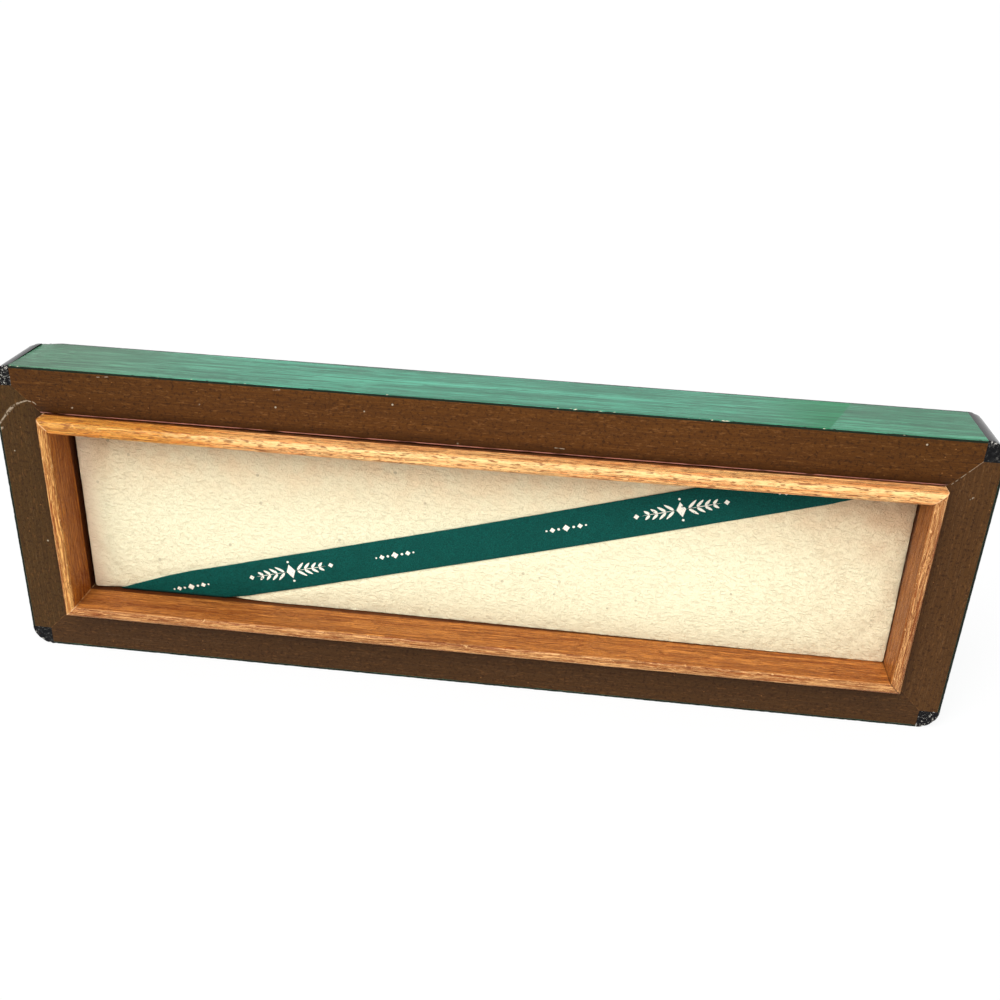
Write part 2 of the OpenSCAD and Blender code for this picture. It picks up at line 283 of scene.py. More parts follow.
class Wire:
    """The value at a node's output. Sums and products of wires make math nodes."""

    def __init__(self, web, socket):
        self.web = web
        self.socket = socket

    def joined(self, operation, *values):
        """A math node, or a vector math node where a value has three parts."""
        types = [value.socket.type for value in values if isinstance(value, Wire)]
        spatial = "VECTOR" in types or "RGBA" in types or any(isinstance(value, tuple) for value in values)
        kind = "ShaderNodeVectorMath" if spatial else "ShaderNodeMath"
        return self.web.take(kind, dict(enumerate(values)), operation=operation)

    def __add__(self, other):
        return self.joined("ADD", self, other)

    def __sub__(self, other):
        return self.joined("SUBTRACT", self, other)

    def __rsub__(self, other):
        return self.joined("SUBTRACT", other, self)

    def __mul__(self, other):
        return self.joined("MULTIPLY", self, other)

    def __truediv__(self, other):
        return self.joined("DIVIDE", self, other)

    def __rtruediv__(self, other):
        return self.joined("DIVIDE", other, self)

    def __abs__(self):
        return self.joined("ABSOLUTE", self)

    def most(self, other):
        return self.joined("MAXIMUM", self, other)

    def above(self, mark):
        return self.joined("GREATER_THAN", self, mark)

    def below(self, mark):
        return self.joined("LESS_THAN", self, mark)

    def clamped(self):
        return self.web.take("ShaderNodeMath", {0: self, 1: 0.0}, operation="ADD", use_clamp=True)

    def dot(self, other):
        return self.web.take("ShaderNodeVectorMath", {0: self, 1: other}, "Value", operation="DOT_PRODUCT")

    def part(self, axis):
        return self.web.take("ShaderNodeSeparateXYZ", {"Vector": self}, axis)

    def step(self, start, end, at_start=0.0, at_end=1.0):
        """A smooth step between two marks."""
        plugs = {"Value": self, "From Min": start, "From Max": end, "To Min": at_start, "To Max": at_end}
        return self.web.take("ShaderNodeMapRange", plugs, interpolation_type="SMOOTHSTEP")

    def spread(self, at_zero, at_one):
        """A straight change from one value to another."""
        return self.web.take("ShaderNodeMapRange", {"Value": self, "To Min": at_zero, "To Max": at_one})

    def noise(self, scale=1.0, detail=2.0, rough=0.5, out="Fac"):
        plugs = {"Vector": self, "Scale": scale, "Detail": detail, "Roughness": rough}
        return self.web.take("ShaderNodeTexNoise", plugs, out)

    def toward(self, other, share):
        """This colour, going over to another as the share goes to 1."""
        return self.web.blend(share, self, other)


class Web:
    """Adds nodes to one tree and joins them."""

    def __init__(self, tree):
        self.tree = tree

    def feed(self, node, plug, value):
        socket = node.inputs[plug]
        if isinstance(value, Wire):
            self.tree.links.new(value.socket, socket)
        elif socket.type == "RGBA":
            socket.default_value = (*value, 1.0)
        elif socket.type == "VECTOR" and isinstance(value, (int, float)):
            socket.default_value = (value, value, value)
        else:
            socket.default_value = value

    def add(self, kind, plugs=None, **settings):
        """A new node's outputs, as wires by name."""
        node = self.tree.nodes.new(kind)
        for name, value in settings.items():
            setattr(node, name, value)
        for plug, value in (plugs or {}).items():
            self.feed(node, plug, value)
        return {socket.name: Wire(self, socket) for socket in node.outputs if socket.enabled}

    def take(self, kind, plugs=None, out=None, **settings):
        """One output of a new node: the named one, or its first."""
        made = self.add(kind, plugs, **settings)
        return made[out] if out else next(iter(made.values()))

    def use(self, maker, plugs):
        """Places the node group that this function makes, and gives its outputs."""
        kind = self.tree.bl_idname.replace("NodeTree", "NodeGroup")
        return self.add(kind, plugs, node_tree=group_of(maker))

    def xyz(self, x, y, z):
        return self.take("ShaderNodeCombineXYZ", {"X": x, "Y": y, "Z": z})

    def blend(self, factor, a, b):
        """Colour a where the factor is 0 and b where it is 1."""
        return self.take("ShaderNodeMix", {0: factor, 6: a, 7: b}, data_type="RGBA")

    def attribute(self, name):
        """A value that the mesh carries."""
        return self.take("ShaderNodeAttribute", out="Fac", attribute_name=name)

    def rubbed(self, place, grain, amount):
        plugs = {"Vector": place, "Wear": self.attribute("wear"), "Grain": grain, "Amount": amount}
        return self.use(rubbed_edge, plugs)["Mask"]

    def specks(self, place, spacing, size, share):
        return self.use(specks, {"Vector": place, "Spacing": spacing, "Size": size, "Share": share})["Mask"]


def new_tree(name, kind, inputs, outputs):
    """An empty node group's builder and its inputs. inputs holds names and defaults by socket type."""
    tree = bpy.data.node_groups.new(name, kind)
    for socket_type, plugs in inputs.items():
        for plug, default in plugs.items():
            socket = tree.interface.new_socket(name=plug, in_out="INPUT", socket_type=socket_type)
            if default is not None:
                socket.default_value = (*default, 1.0) if socket_type == COLOR else default
    for plug, socket_type in outputs.items():
        tree.interface.new_socket(name=plug, in_out="OUTPUT", socket_type=socket_type)
    web = Web(tree)
    return web, web.add("NodeGroupInput")


def close_tree(web, results):
    """Joins the results to the group's outputs."""
    web.add("NodeGroupOutput", results)
    return web.tree


GROUPS = {}


def group_of(maker):
    """The shared group that this function makes, built at its first use."""
    if maker not in GROUPS:
        GROUPS[maker] = maker()
    return GROUPS[maker]


# Shader groups


def timber_figure():
    """Streaks, fibres and open pores of a wood whose grain runs along X. Sizes are in millimetres."""
    sizes = {"Seed": 0.0, "Streak length": 40.0, "Streak width": 0.9, "Contrast": 1.0}
    sizes |= {"Pore length": 3.0, "Pore width": 0.3, "Pore share": 0.5, "Drift": 1.0}
    inputs = {VECTOR: {"Vector": None}, FLOAT: sizes, COLOR: {"Light": WHITE, "Dark": WHITE, "Pore": WHITE}}
    outputs = {"Color": COLOR, "Pores": FLOAT, "Tone": FLOAT, "Height": FLOAT}
    web, given = new_tree("Timber figure", "ShaderNodeTree", inputs, outputs)
    seed = given["Seed"]
    mm = given["Vector"] * (1 / MM) + web.xyz(seed, seed, seed) * (137.1, 31.7, 17.3)
    sway = (mm * (0.055, 0.12, 0.12)).noise(detail=1.0, out="Color")
    mm = mm + (sway - 0.5) * (0.0, 4.0, 4.0) * given["Drift"]
    stagger = (mm * (0.0, 1.7, 1.7)).noise()
    mm = mm + web.xyz((stagger - 0.5) * 160.0, 0.0, 0.0)

    def drawn_out(long, across):
        return mm * web.xyz(1.0 / long, across, across)

    long, across = given["Streak length"], 1.0 / given["Streak width"]
    streak = drawn_out(long, across).noise(detail=3.0, rough=0.6)
    broad = drawn_out(long * 2.5, across * 0.22).noise(detail=1.0)
    fibre = drawn_out(5.0, 5.5).noise(rough=0.7)
    tone = streak.step(0.32, 0.68) * 0.45 + broad.step(0.35, 0.65) * 0.25 + fibre.step(0.3, 0.7) * 0.30
    tone = ((tone - 0.5) * given["Contrast"] + 0.5).clamped()
    mark = 0.76 - given["Pore share"] * 0.25
    pores = drawn_out(given["Pore length"], 1.0 / given["Pore width"]).noise(detail=1.0)
    pores = pores.step(mark, mark + 0.07)
    color = web.blend(tone, given["Light"], given["Dark"]).toward(given["Pore"], pores * 0.85)
    return close_tree(web, {"Color": color, "Pores": pores, "Tone": tone, "Height": fibre * 0.35 - pores})


def rubbed_edge():
    """Where an edge's finish is rubbed through: the wear left by the chips, broken up by noise."""
    inputs = {VECTOR: {"Vector": None}, FLOAT: {"Wear": 0.0, "Grain": 0.5, "Amount": 0.5}}
    web, given = new_tree("Rubbed edge", "ShaderNodeTree", inputs, {"Mask": FLOAT})
    rough = (given["Vector"] * (1 / MM / given["Grain"])).noise(detail=3.0, rough=0.65)
    start = 1.0 - given["Amount"]
    return close_tree(web, {"Mask": (given["Wear"] + (rough - 0.5) * 1.2).step(start, start + 0.15)})


def scratch():
    """One scratch between two points in millimetres, with ragged sides and breaks."""
    ends = {"Vector": None, "From": (0.0, 0.0, 0.0), "To": (1.0, 0.0, 0.0)}
    web, given = new_tree("Scratch", "ShaderNodeTree", {VECTOR: ends, FLOAT: {"Width": 0.3}}, {"Mask": FLOAT})
    mm = given["Vector"] * (1 / MM)
    run, here = given["To"] - given["From"], mm - given["From"]
    off = here - run * (here.dot(run) / run.dot(run)).clamped()
    off = web.take("ShaderNodeVectorMath", {0: off}, "Value", operation="LENGTH")
    off = off + (mm.noise(3.5, rough=0.7) - 0.5) * given["Width"]
    half = given["Width"] * 0.5
    return close_tree(web, {"Mask": off.step(half, half * 0.3) * mm.noise(1.3).step(0.36, 0.52)})


def specks():
    """Small scattered specks, one to a cell at most."""
    inputs = {VECTOR: {"Vector": None}, FLOAT: {"Spacing": 4.0, "Size": 0.25, "Share": 0.3}}
    web, given = new_tree("Specks", "ShaderNodeTree", inputs, {"Mask": FLOAT})
    place = given["Vector"] * (1 / MM / given["Spacing"])
    cells = web.add("ShaderNodeTexVoronoi", {"Vector": place, "Scale": 1.0})
    chance = web.add("ShaderNodeSeparateColor", {"Color": cells["Color"]})
    spot = (cells["Distance"] - given["Size"] * chance["Green"] / given["Spacing"]).step(0.012, -0.012)
    return close_tree(web, {"Mask": spot * chance["Red"].below(given["Share"])})


def hide_grain():
    """Pebbles and drawn creases of a leather. Sizes are in millimetres; Height is high on the pebbles."""
    sizes = {"Pebble": 0.6, "Crease length": 6.0, "Crease width": 0.8, "Crease": 0.5}
    outputs = {"Height": FLOAT, "Valleys": FLOAT, "Mottle": FLOAT}
    web, given = new_tree("Hide grain", "ShaderNodeTree", {VECTOR: {"Vector": None}, FLOAT: sizes}, outputs)
    mm = given["Vector"] * (1 / MM)
    mm = mm + (mm.noise(0.7, out="Color") - 0.5) * 1.6
    plugs = {"Vector": mm * (1.0 / given["Pebble"]), "Scale": 1.0}
    edge = web.take("ShaderNodeTexVoronoi", plugs, feature="DISTANCE_TO_EDGE").step(0.16, 0.0)
    across = 1.0 / given["Crease width"]
    drawn = (mm * web.xyz(1.0 / given["Crease length"], across, across)).noise(rough=0.6)
    valleys = (drawn.step(0.50, 0.66) * given["Crease"]).most(edge * (1.0 - given["Crease"]))
    height = mm.noise(2.6, rough=0.6) * 0.5 - valleys
    mottle = mm.noise(0.11, 3.0, 0.6).step(0.3, 0.7)
    return close_tree(web, {"Height": height, "Valleys": valleys, "Mottle": mottle})


# Materials


def new_material(name):
    """An empty material, its builder and its Object coordinates."""
    material = bpy.data.materials.new(name)
    material.use_nodes = True
    material.node_tree.nodes.clear()
    web = Web(material.node_tree)
    return material, web, web.take("ShaderNodeTexCoord", out="Object")


def close_material(material, place, color, rough, bump, shine=0.5, metallic=0.0):
    """Ends a material in a Principled shader. bump is a height, a strength and a depth in mm."""
    web = place.web
    height, strength, depth_mm = bump
    normal = {"Strength": strength, "Distance": depth_mm * MM, "Height": height}
    plugs = {"Base Color": color, "Roughness": rough, "Specular IOR Level": shine, "Metallic": metallic}
    plugs["Normal"] = web.take("ShaderNodeBump", normal)
    web.add("ShaderNodeOutputMaterial", {"Surface": web.take("ShaderNodeBsdfPrincipled", plugs)})
    return material


def tinted(colour, share):
    return tuple(share * part for part in colour)


def turned(place, side):
    """Coordinates whose X runs along a piece on this side."""
    if side in ("left", "right"):
        return place.web.take("ShaderNodeMapping", {"Vector": place, "Rotation": (0.0, math.pi / 2, 0.0)})
    return place


def timber(place, seed, streak, contrast, pore, drift, colours):
    """A wood's figure. streak is a length and a width in mm; pore is a length, a width and a share."""
    plugs = {"Vector": place, "Seed": seed, "Contrast": contrast, "Drift": drift}
    plugs |= {"Streak length": streak[0], "Streak width": streak[1]}
    plugs |= {"Pore length": pore[0], "Pore width": pore[1], "Pore share": pore[2]}
    plugs |= {"Light": colours[0], "Dark": colours[1], "Pore": colours[2]}
    return place.web.use(timber_figure, plugs)


def mitre_line(place, wide_mm):
    """A fine line along the four mitres."""
    from_side = HALF_LENGTH - abs(place.part("X"))
    from_edge = MIDDLE - abs(place.part("Z") - MIDDLE)
    return abs(from_side - from_edge).step(wide_mm * MM, 0.4 * wide_mm * MM)


def knocks(place, side):
    """The scratches on this side of the open face in one mask, or None."""
    marks = None
    for (x, z), (to_x, to_z), width in FACE_SCRATCHES:
        if {"left": to_x < -134, "right": x > 134, "top": z > 84, "bottom": z < 16}[side]:
            ends = {"From": (x, FACE / MM, z), "To": (to_x, FACE / MM, to_z)}
            mark = place.web.use(scratch, {"Vector": place, "Width": width, **ends})["Mask"]
            marks = marks.most(mark) if marks else mark
    return marks


def stained_rail(colours, side, seed):
    """Dark brown stain over fine straight grain, with knocks on the open face."""
    material, web, place = new_material("stained_rail_" + side)
    grain = turned(place, side)
    top = side == "top"
    shades = (colours.rail_light, colours.rail_dark, tinted(colours.rail_fill, 0.6))
    figure = timber(grain, seed, (4.0, 0.55), 1.2 if top else 0.8, (1.6, 0.5, 0.52), 0.2, shades)
    mottle = place.noise(900.0, 3.0, 0.7).step(0.50, 0.66, 0.0, 0.7)
    # painted light and shade: each rail tinted for the light on its side
    color = (figure["Color"] * RAIL_LIGHT_CASTS[side]).toward(tinted(colours.rail_dark, 0.45), mottle)
    fibre = (grain * (420.0, 1500.0, 1500.0)).noise(rough=0.7).step(0.56, 0.72, 0.0, 0.36 if top else 0.20)
    color = color.toward(tinted(colours.rail_fill, 0.8), fibre)
    if top:
        color = color.toward(color * RAIL_FADE, abs(place.part("X")).step(0.06, 0.135))
    color = color.toward(colours.rail_fill, web.specks(place, 2.6, 0.34, 0.20) * 0.55)
    color = color.toward(DUST, web.specks(place, 7.0, 0.40, 0.30) * 0.7)
    inset = web.attribute("inset")
    # painted shade: the rail darker towards the liner, less on the right
    liner_shade = inset.step(RAIL_WIDTH - 4.5 * MM, RAIL_WIDTH - 0.6 * MM, 0.0, 0.25 if side == "right" else 0.65)
    color = color.toward(tinted(colours.rail_dark, 0.35), liner_shade)
    color = color.toward(RAIL_BARE, web.rubbed(place, 0.6, 0.35))
    # painted highlight along the top rail's inner arris
    if top:
        arris = web.attribute("edge").step(0.55, 0.95) * inset.step(0.5 * RAIL_WIDTH, 0.8 * RAIL_WIDTH)
        broken = (place * (150.0, 900.0, 900.0)).noise().step(0.30, 0.55)
        color = color.toward(colours.rail_arris, arris * broken)
    height = figure["Height"]
    marks = knocks(place, side)
    if marks:
        color = color.toward(SCRATCHED, marks * 0.5)
        height = height - marks * 2.0
    joint = mitre_line(place, 0.16) * place.noise(700.0).step(0.40, 0.60)
    color = color.toward(colours.rail_fill, joint * 0.35)
    rough = place.noise(60.0, 3.0).spread(0.38, 0.55)
    return close_material(material, place, color, rough, (height, 0.3, 0.05), shine=0.10)


def dyed_veneer(colours, name, side, seed, deepen=None):
    """Green dyed veneer with fine streaks, and on the top painted light that falls off towards both ends.
    deepen is the X where it starts to darken, then the darkest X.
    """
    material, web, place = new_material(name)
    shades = (colours.green_light, colours.green_dark, tinted(colours.green_dark, 0.6))
    figure = timber(turned(place, side), seed, (14.0, 1.9), 2.9, (6.0, 1.3, 1.05), 0.15, shades)
    color = figure["Color"]
    if side == "top":
        # painted light: the top's sheen and light falling off towards both ends
        color = color.toward(color * VENEER_LEFT_SHEEN_FALLOFF, place.part("X").step(-0.05, -0.14))
        color = color.toward(color * VENEER_RIGHT_SHEEN_FALLOFF, place.part("X").step(0.04, 0.12))
    if deepen:
        deep = place.part("X").step(*deepen)
        deep = (deep * (deep + figure["Tone"] * 0.6)).clamped()
        shade = web.blend(figure["Tone"], tinted(colours.green_deep, 1.35), tinted(colours.green_deep, 0.6))
        color = color.toward(shade, deep)
    color = color.toward(VENEER_BARE, web.rubbed(place, 0.4, 0.5))
    rough = place.noise(45.0, 3.0).spread(0.28, 0.42)
    return close_material(material, place, color, rough, (figure["Height"], 0.2, 0.03), shine=0.22)


def veneer_cut_edge(colours):
    """The veneer's front edge, inked dark and chipped in places."""
    material, web, place = new_material("veneer_cut_edge")
    upper = place.part("Z").step(HEIGHT - 3 * MM, HEIGHT - 1 * MM)
    color = web.blend(upper, INK, colours.green_edge).toward(INK_GREEN, place.noise(900.0))
    color = color.toward(VENEER_CORE, web.rubbed(place, 0.45, 0.42))
    return close_material(material, place, color, 0.5, (place.noise(3000.0), 0.2, 0.03), shine=0.08)


def black_lacquer(colours, name, knocked):
    """Ebonised wood under gloss lacquer, scuffed through to grey where worn and flecked where knocked."""
    material, web, place = new_material(name)
    scuff = (place * (900.0, 250.0, 900.0)).noise(detail=3.0, rough=0.7)
    rubbed = web.rubbed(place, 0.4, 0.45)
    front = place.part("Y").step(FACE + 0.6 * MM, FACE)
    flecks = place.noise(1300.0, 4.0, 0.75).step(0.55, 0.63) * (front * knocked)
    color = web.blend(scuff.step(0.45, 0.85), colours.black, LACQUER_SCUFF)
    color = color.toward(LACQUER_RUBBED, rubbed * 0.7).toward(LACQUER_FLECK, flecks * 0.8)
    rough = scuff * 0.2 + rubbed * 0.3 + 0.12
    shine = front.spread(0.20, 0.05)
    return close_material(material, place, color, rough, (scuff - rubbed * 2.0, 0.3, 0.03), shine)


def painted_top_light(color, web, place):
    """The top strip's painted highlight along its nose, its less lit left end and the painted shade of its
    seat on the rail.
    """
    inset, along, depth = web.attribute("inset"), place.part("X"), place.part("Y")
    # painted highlight along the upper rounding of the nose
    nose_highlight = inset.step(RAIL_WIDTH + 0.15 * MM, RAIL_WIDTH + 0.6 * MM)
    nose_highlight = nose_highlight * inset.step(RAIL_WIDTH + 2.3 * MM, RAIL_WIDTH + 1.4 * MM)
    nose_highlight = nose_highlight * depth.step(LIP_FRONT + 1.4 * MM, LIP_FRONT + 0.9 * MM)
    nose_highlight = nose_highlight * along.step(-0.11, -0.07, 0.12, 1.0)
    nose_highlight = nose_highlight * (place * (260.0, 1500.0, 1500.0)).noise(detail=3.0, rough=0.7).step(0.36, 0.60)
    color = color.toward(color * LINER_LESS_LIT, along.step(-0.06, -0.10)).toward(LINER_HIGHLIGHT, nose_highlight * 0.9)
    # painted shade in the seat against the rail
    return color.toward(LINER_SEAT_SHADE, depth.step(FACE - 0.5 * MM, FACE - 0.1 * MM) * 0.9)


def open_mahogany(colours, side, seed):
    """Open-grained mahogany under thin lacquer, its nose paler from rubbing and a painted highlight, and
    painted shade at its root by the panel.
    """
    material, web, place = new_material("mahogany_" + side)
    top = side == "top"
    shades = (colours.mahogany_light, colours.mahogany_dark, colours.mahogany_pore)
    # painted light: the top strip takes lighter, lit grain colours
    if top:
        shades = (colours.lit_liner_light, colours.lit_liner_dark, colours.mahogany_pore)
    figure = timber(turned(place, side), seed, (7.0, 0.9), 3.0, (3.0, 0.6, 0.92), 0.4, shades)
    depth, height = place.part("Y"), place.part("Z")
    # the nose paler: rubbed wear and painted highlight
    rubbed_and_lit = depth.step(LIP_FRONT + 1.2 * MM, LIP_FRONT + 0.3 * MM) * figure["Tone"].step(0.75, 0.35)
    rubbed_and_lit = rubbed_and_lit * (1.0 - figure["Pores"]) * {"top": 0.4, "left": 0.7}.get(side, 0.55)
    color = figure["Color"].toward(colours.mahogany_bare_and_lit, rubbed_and_lit)
    if top:
        color = painted_top_light(color, web, place)
    dashes = (turned(place, side) * (300.0, 1700.0, 1700.0)).noise(rough=0.6)
    color = color.toward(LINER_DASH, dashes.step(0.54, 0.64, 0.0, 0.8 if top else 0.6))
    # painted shade on the inner face towards the panel, wider on the right and high on the left
    reach = {"left": 0.8, "bottom": 1.2, "right": 2.0, "top": 0.6}[side] * MM
    if side == "left":
        reach = height.step(MIDDLE + 5 * MM, PAD_HIGH.z, 1.0, 2.4) * reach
        # painted light: the left strip's colour shifted for the light on its side
        color = color * LINER_LEFT_LIT_CAST
    root = ((PAD_LOW.y - 0.8 * MM - depth) / reach).step(1.0, 0.35)
    color = color.toward(LINER_ROOT_SHADE, root * 0.85)
    opened = place.part("X").above(0.0) * height.below(MIDDLE)
    joint = mitre_line(place, 0.26) * place.noise(520.0, 3.0).step(0.36, 0.56).most(opened)
    color = color.toward(web.blend(opened, MITRE_PALE, MITRE_OPEN), joint * 0.7)
    color = color.toward(colours.mahogany_bare_and_lit, web.rubbed(place, 0.5, 0.35) * 0.6)
    rough = figure["Pores"] * 0.25 + 0.30
    return close_material(material, place, color, rough, (figure["Height"], 0.5, 0.09), shine=0.16)


def cream_hide(colours):
    """Cream leather: pebbled, drawn into fine creases, with painted shade in the creases, under the liner at
    its top and in the gap at its sides, darker towards its right and left edges, and painted light along its
    left margin.
    """
    material, web, place = new_material("cream_leather")
    slanted = web.take("ShaderNodeMapping", {"Vector": place, "Rotation": (0.0, math.radians(-8), 0.0)})
    sizes = {"Pebble": 1.0, "Crease length": 2.2, "Crease width": 0.7, "Crease": 0.7}
    grain = web.use(hide_grain, {"Vector": slanted, **sizes})
    x, z = place.part("X"), place.part("Z")
    far = abs(x).step(0.35 * PAD_HIGH.x, 0.95 * PAD_HIGH.x, 0.24, 0.42)
    upper = z.step(MIDDLE - 2 * MM, PAD_HIGH.z + 4 * MM)
    right = (x.step(0.55 * PAD_HIGH.x, PAD_HIGH.x + 12 * MM) * (upper * 0.8 + 0.5)).clamped()
    left = x.step(0.70 * PAD_LOW.x, PAD_LOW.x - 8 * MM) * (upper * 0.9 + 0.1)
    mottle = grain["Mottle"] * 0.5 + 0.5
    # painted shade in the creases, more towards the ends
    color = web.blend(grain["Valleys"] * far, colours.cream, colours.cream_crease_shade)
    color = color.toward(colours.cream_dim, upper * mottle * 0.8)
    # darker towards the right and left edges
    color = color.toward(colours.cream_darkened, right.most(left) * mottle * 0.85)
    # painted light along the left margin
    color = color.toward(HIDE_MARGIN_LIGHT, x.step(PAD_LOW.x + 9 * MM, PAD_LOW.x, 0.0, 0.8))
    color = color.toward(HIDE_DIRT, web.specks(place, 6.0, 0.6, 0.6) * 0.45)
    # painted shade where the leather turns back into the gap by the liner
    color = color.toward(HIDE_GAP_SHADE, place.part("Y").step(PAD_LOW.y + 0.16 * MM, PAD_LOW.y + 0.42 * MM) * 0.9)
    return close_material(material, place, color, 0.7, (grain["Height"], 1.0, 0.30), shine=0.1)


def strap_hide(colours):
    """Dark green leather with a fine tight grain, painted lighter on its pebbles and darker in its valleys,
    with painted shade where it turns down by the liner.
    """
    material, web, place = new_material("strap_leather")
    sizes = {"Pebble": 0.55, "Crease length": 1.4, "Crease width": 0.5, "Crease": 0.4}
    grain = web.use(hide_grain, {"Vector": place, **sizes})
    # painted light and shade: lighter on the pebbles, darker in the valleys
    color = web.blend(grain["Valleys"], tinted(colours.strap, 1.9), tinted(colours.strap, 0.3))
    color = color.toward(colours.strap, grain["Mottle"] * 0.3)
    # painted shade where the strap turns down against the liner
    color = color.toward(STRAP_TUCK_SHADE, place.part("Z").step(PAD_LOW.z + 0.9 * MM, PAD_LOW.z) * 0.8)
    return close_material(material, place, color, 0.6, (grain["Height"], 0.9, 0.12), shine=0.07)


def stamped_foil(colours):
    """Cream foil, thin at its edges and flecked where the grain shows through."""
    material, web, place = new_material("stamped_foil")
    fleck = place.noise(2600.0).step(0.60, 0.72)
    color = web.blend(fleck, colours.foil, colours.strap)
    return close_material(material, place, color, fleck.spread(0.34, 0.6), (0.0 - fleck, 0.4, 0.02))


def plain_wood(name, light, dark, seed):
    """Unfinished wood inside the box."""
    material, _, place = new_material(name)
    figure = timber(place, seed, (40.0, 0.9), 1.0, (3.0, 0.3, 0.5), 1.0, (light, dark, tinted(dark, 0.6)))
    return close_material(material, place, figure["Color"], 0.7, (figure["Height"], 0.4, 0.08))


def pressed_board(name, light, dark, size_mm):
    """Board, card or foam: small felted grains of two tones."""
    material, web, place = new_material(name)
    grain = place.noise(1 / (size_mm * MM), 4.0, 0.7)
    color = web.blend(grain.step(0.35, 0.65), light, dark)
    return close_material(material, place, color, 0.85, (grain, 0.5, 0.1))


def bright_steel():
    """Drawn steel of the panel pins."""
    material, web, place = new_material("bright_steel")
    drawn = (place * (4000.0, 300.0, 4000.0)).noise()
    color = web.blend(drawn, (0.55, 0.55, 0.54), (0.42, 0.42, 0.43))
    rough = drawn.spread(0.25, 0.45)
    return close_material(material, place, color, rough, (drawn, 0.2, 0.02), metallic=1.0)


# Meshes


def link(name, mesh):
    obj = bpy.data.objects.new(name, mesh)
    bpy.context.scene.collection.objects.link(obj)
    return obj


def into_mesh(shape, name):
    """Ends a shape under construction as a mesh."""
    mesh = bpy.data.meshes.new(name)
    shape.to_mesh(mesh)
    shape.free()
    return mesh


def bridge(shape, a, b, closed=True, flipped=False):
    """Faces between two rows of vertices."""
    for k in range(len(a) if closed else len(a) - 1):
        n = (k + 1) % len(a)
        shape.faces.new((a[n], a[k], b[k], b[n]) if flipped else (a[k], a[n], b[n], b[k]))


def smooth(mesh, degrees=40.0):
    mesh.shade_smooth()
    mesh.set_sharp_from_angle(angle=math.radians(degrees))


def outward(mesh):
    """Turns every face of a closed mesh outwards."""
    shape = bmesh.new()
    shape.from_mesh(mesh)
    bmesh.ops.recalc_face_normals(shape, faces=shape.faces)
    shape.to_mesh(mesh)
    shape.free()


def applied(obj, kind, **settings):
    """Replaces an object's mesh by what one modifier makes of it."""
    modifier = obj.modifiers.new(kind.title(), kind)
    for name, value in settings.items():
        setattr(modifier, name, value)
    graph = bpy.context.evaluated_depsgraph_get()
    obj.data = bpy.data.meshes.new_from_object(obj.evaluated_get(graph), depsgraph=graph)
    obj.modifiers.clear()


def settle(obj, node):
    """A finished piece rides on the box and stands for its node."""
    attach(obj, BODY)
    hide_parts(node)
    return obj


def eased(value, start, end):
    """A smooth step from 0 at start to 1 at end."""
    t = min(1.0, max(0.0, (value - start) / (end - start)))
    return t * t * (3 - 2 * t)


def rounded_loop(points, steps=4, guard=0.45 * MM):
    """A closed outline from (depth, inset, radius) points, in order.

    Each result is depth, inset, the outward direction as two numbers, and how freely that point chips.
    """
    loop = []
    for i, (depth, inset, radius) in enumerate(points):
        if radius <= 0:
            loop.append((depth, inset, 0.0, 0.0, 0.0))
            continue
        here = Vector((depth, inset))
        to_last = Vector(points[i - 1][:2]) - here
        to_next = Vector(points[(i + 1) % len(points)][:2]) - here
        back, ahead = to_last.normalized(), to_next.normalized()
        if to_last.length > radius + 3 * guard:
            loop.append((*(here + back * (radius + guard)), 0.0, 0.0, 0.0))
        inward = (back + ahead) * radius
        centre = here + inward
        first, last = back * radius - inward, ahead * radius - inward
        for k in range(steps + 1):
            a = k / steps * math.pi / 2
            normal = (first * math.cos(a) + last * math.sin(a)).normalized()
            loose = math.sin(2 * a) ** 0.5 if 0 < k < steps else 0.25
            loop.append((*(centre + normal * radius), *normal, loose))
        if to_next.length > radius + 3 * guard:
            loop.append((*(here + ahead * (radius + guard)), 0.0, 0.0, 0.0))
    return loop


def finished(web, geometry, material):
    """Ends a geometry tree with real meshes in one material."""
    real = web.take("GeometryNodeRealizeInstances", {"Geometry": geometry})
    real = web.take("GeometryNodeSetMaterial", {"Geometry": real, "Material": material})
    return close_tree(web, {"Geometry": real})


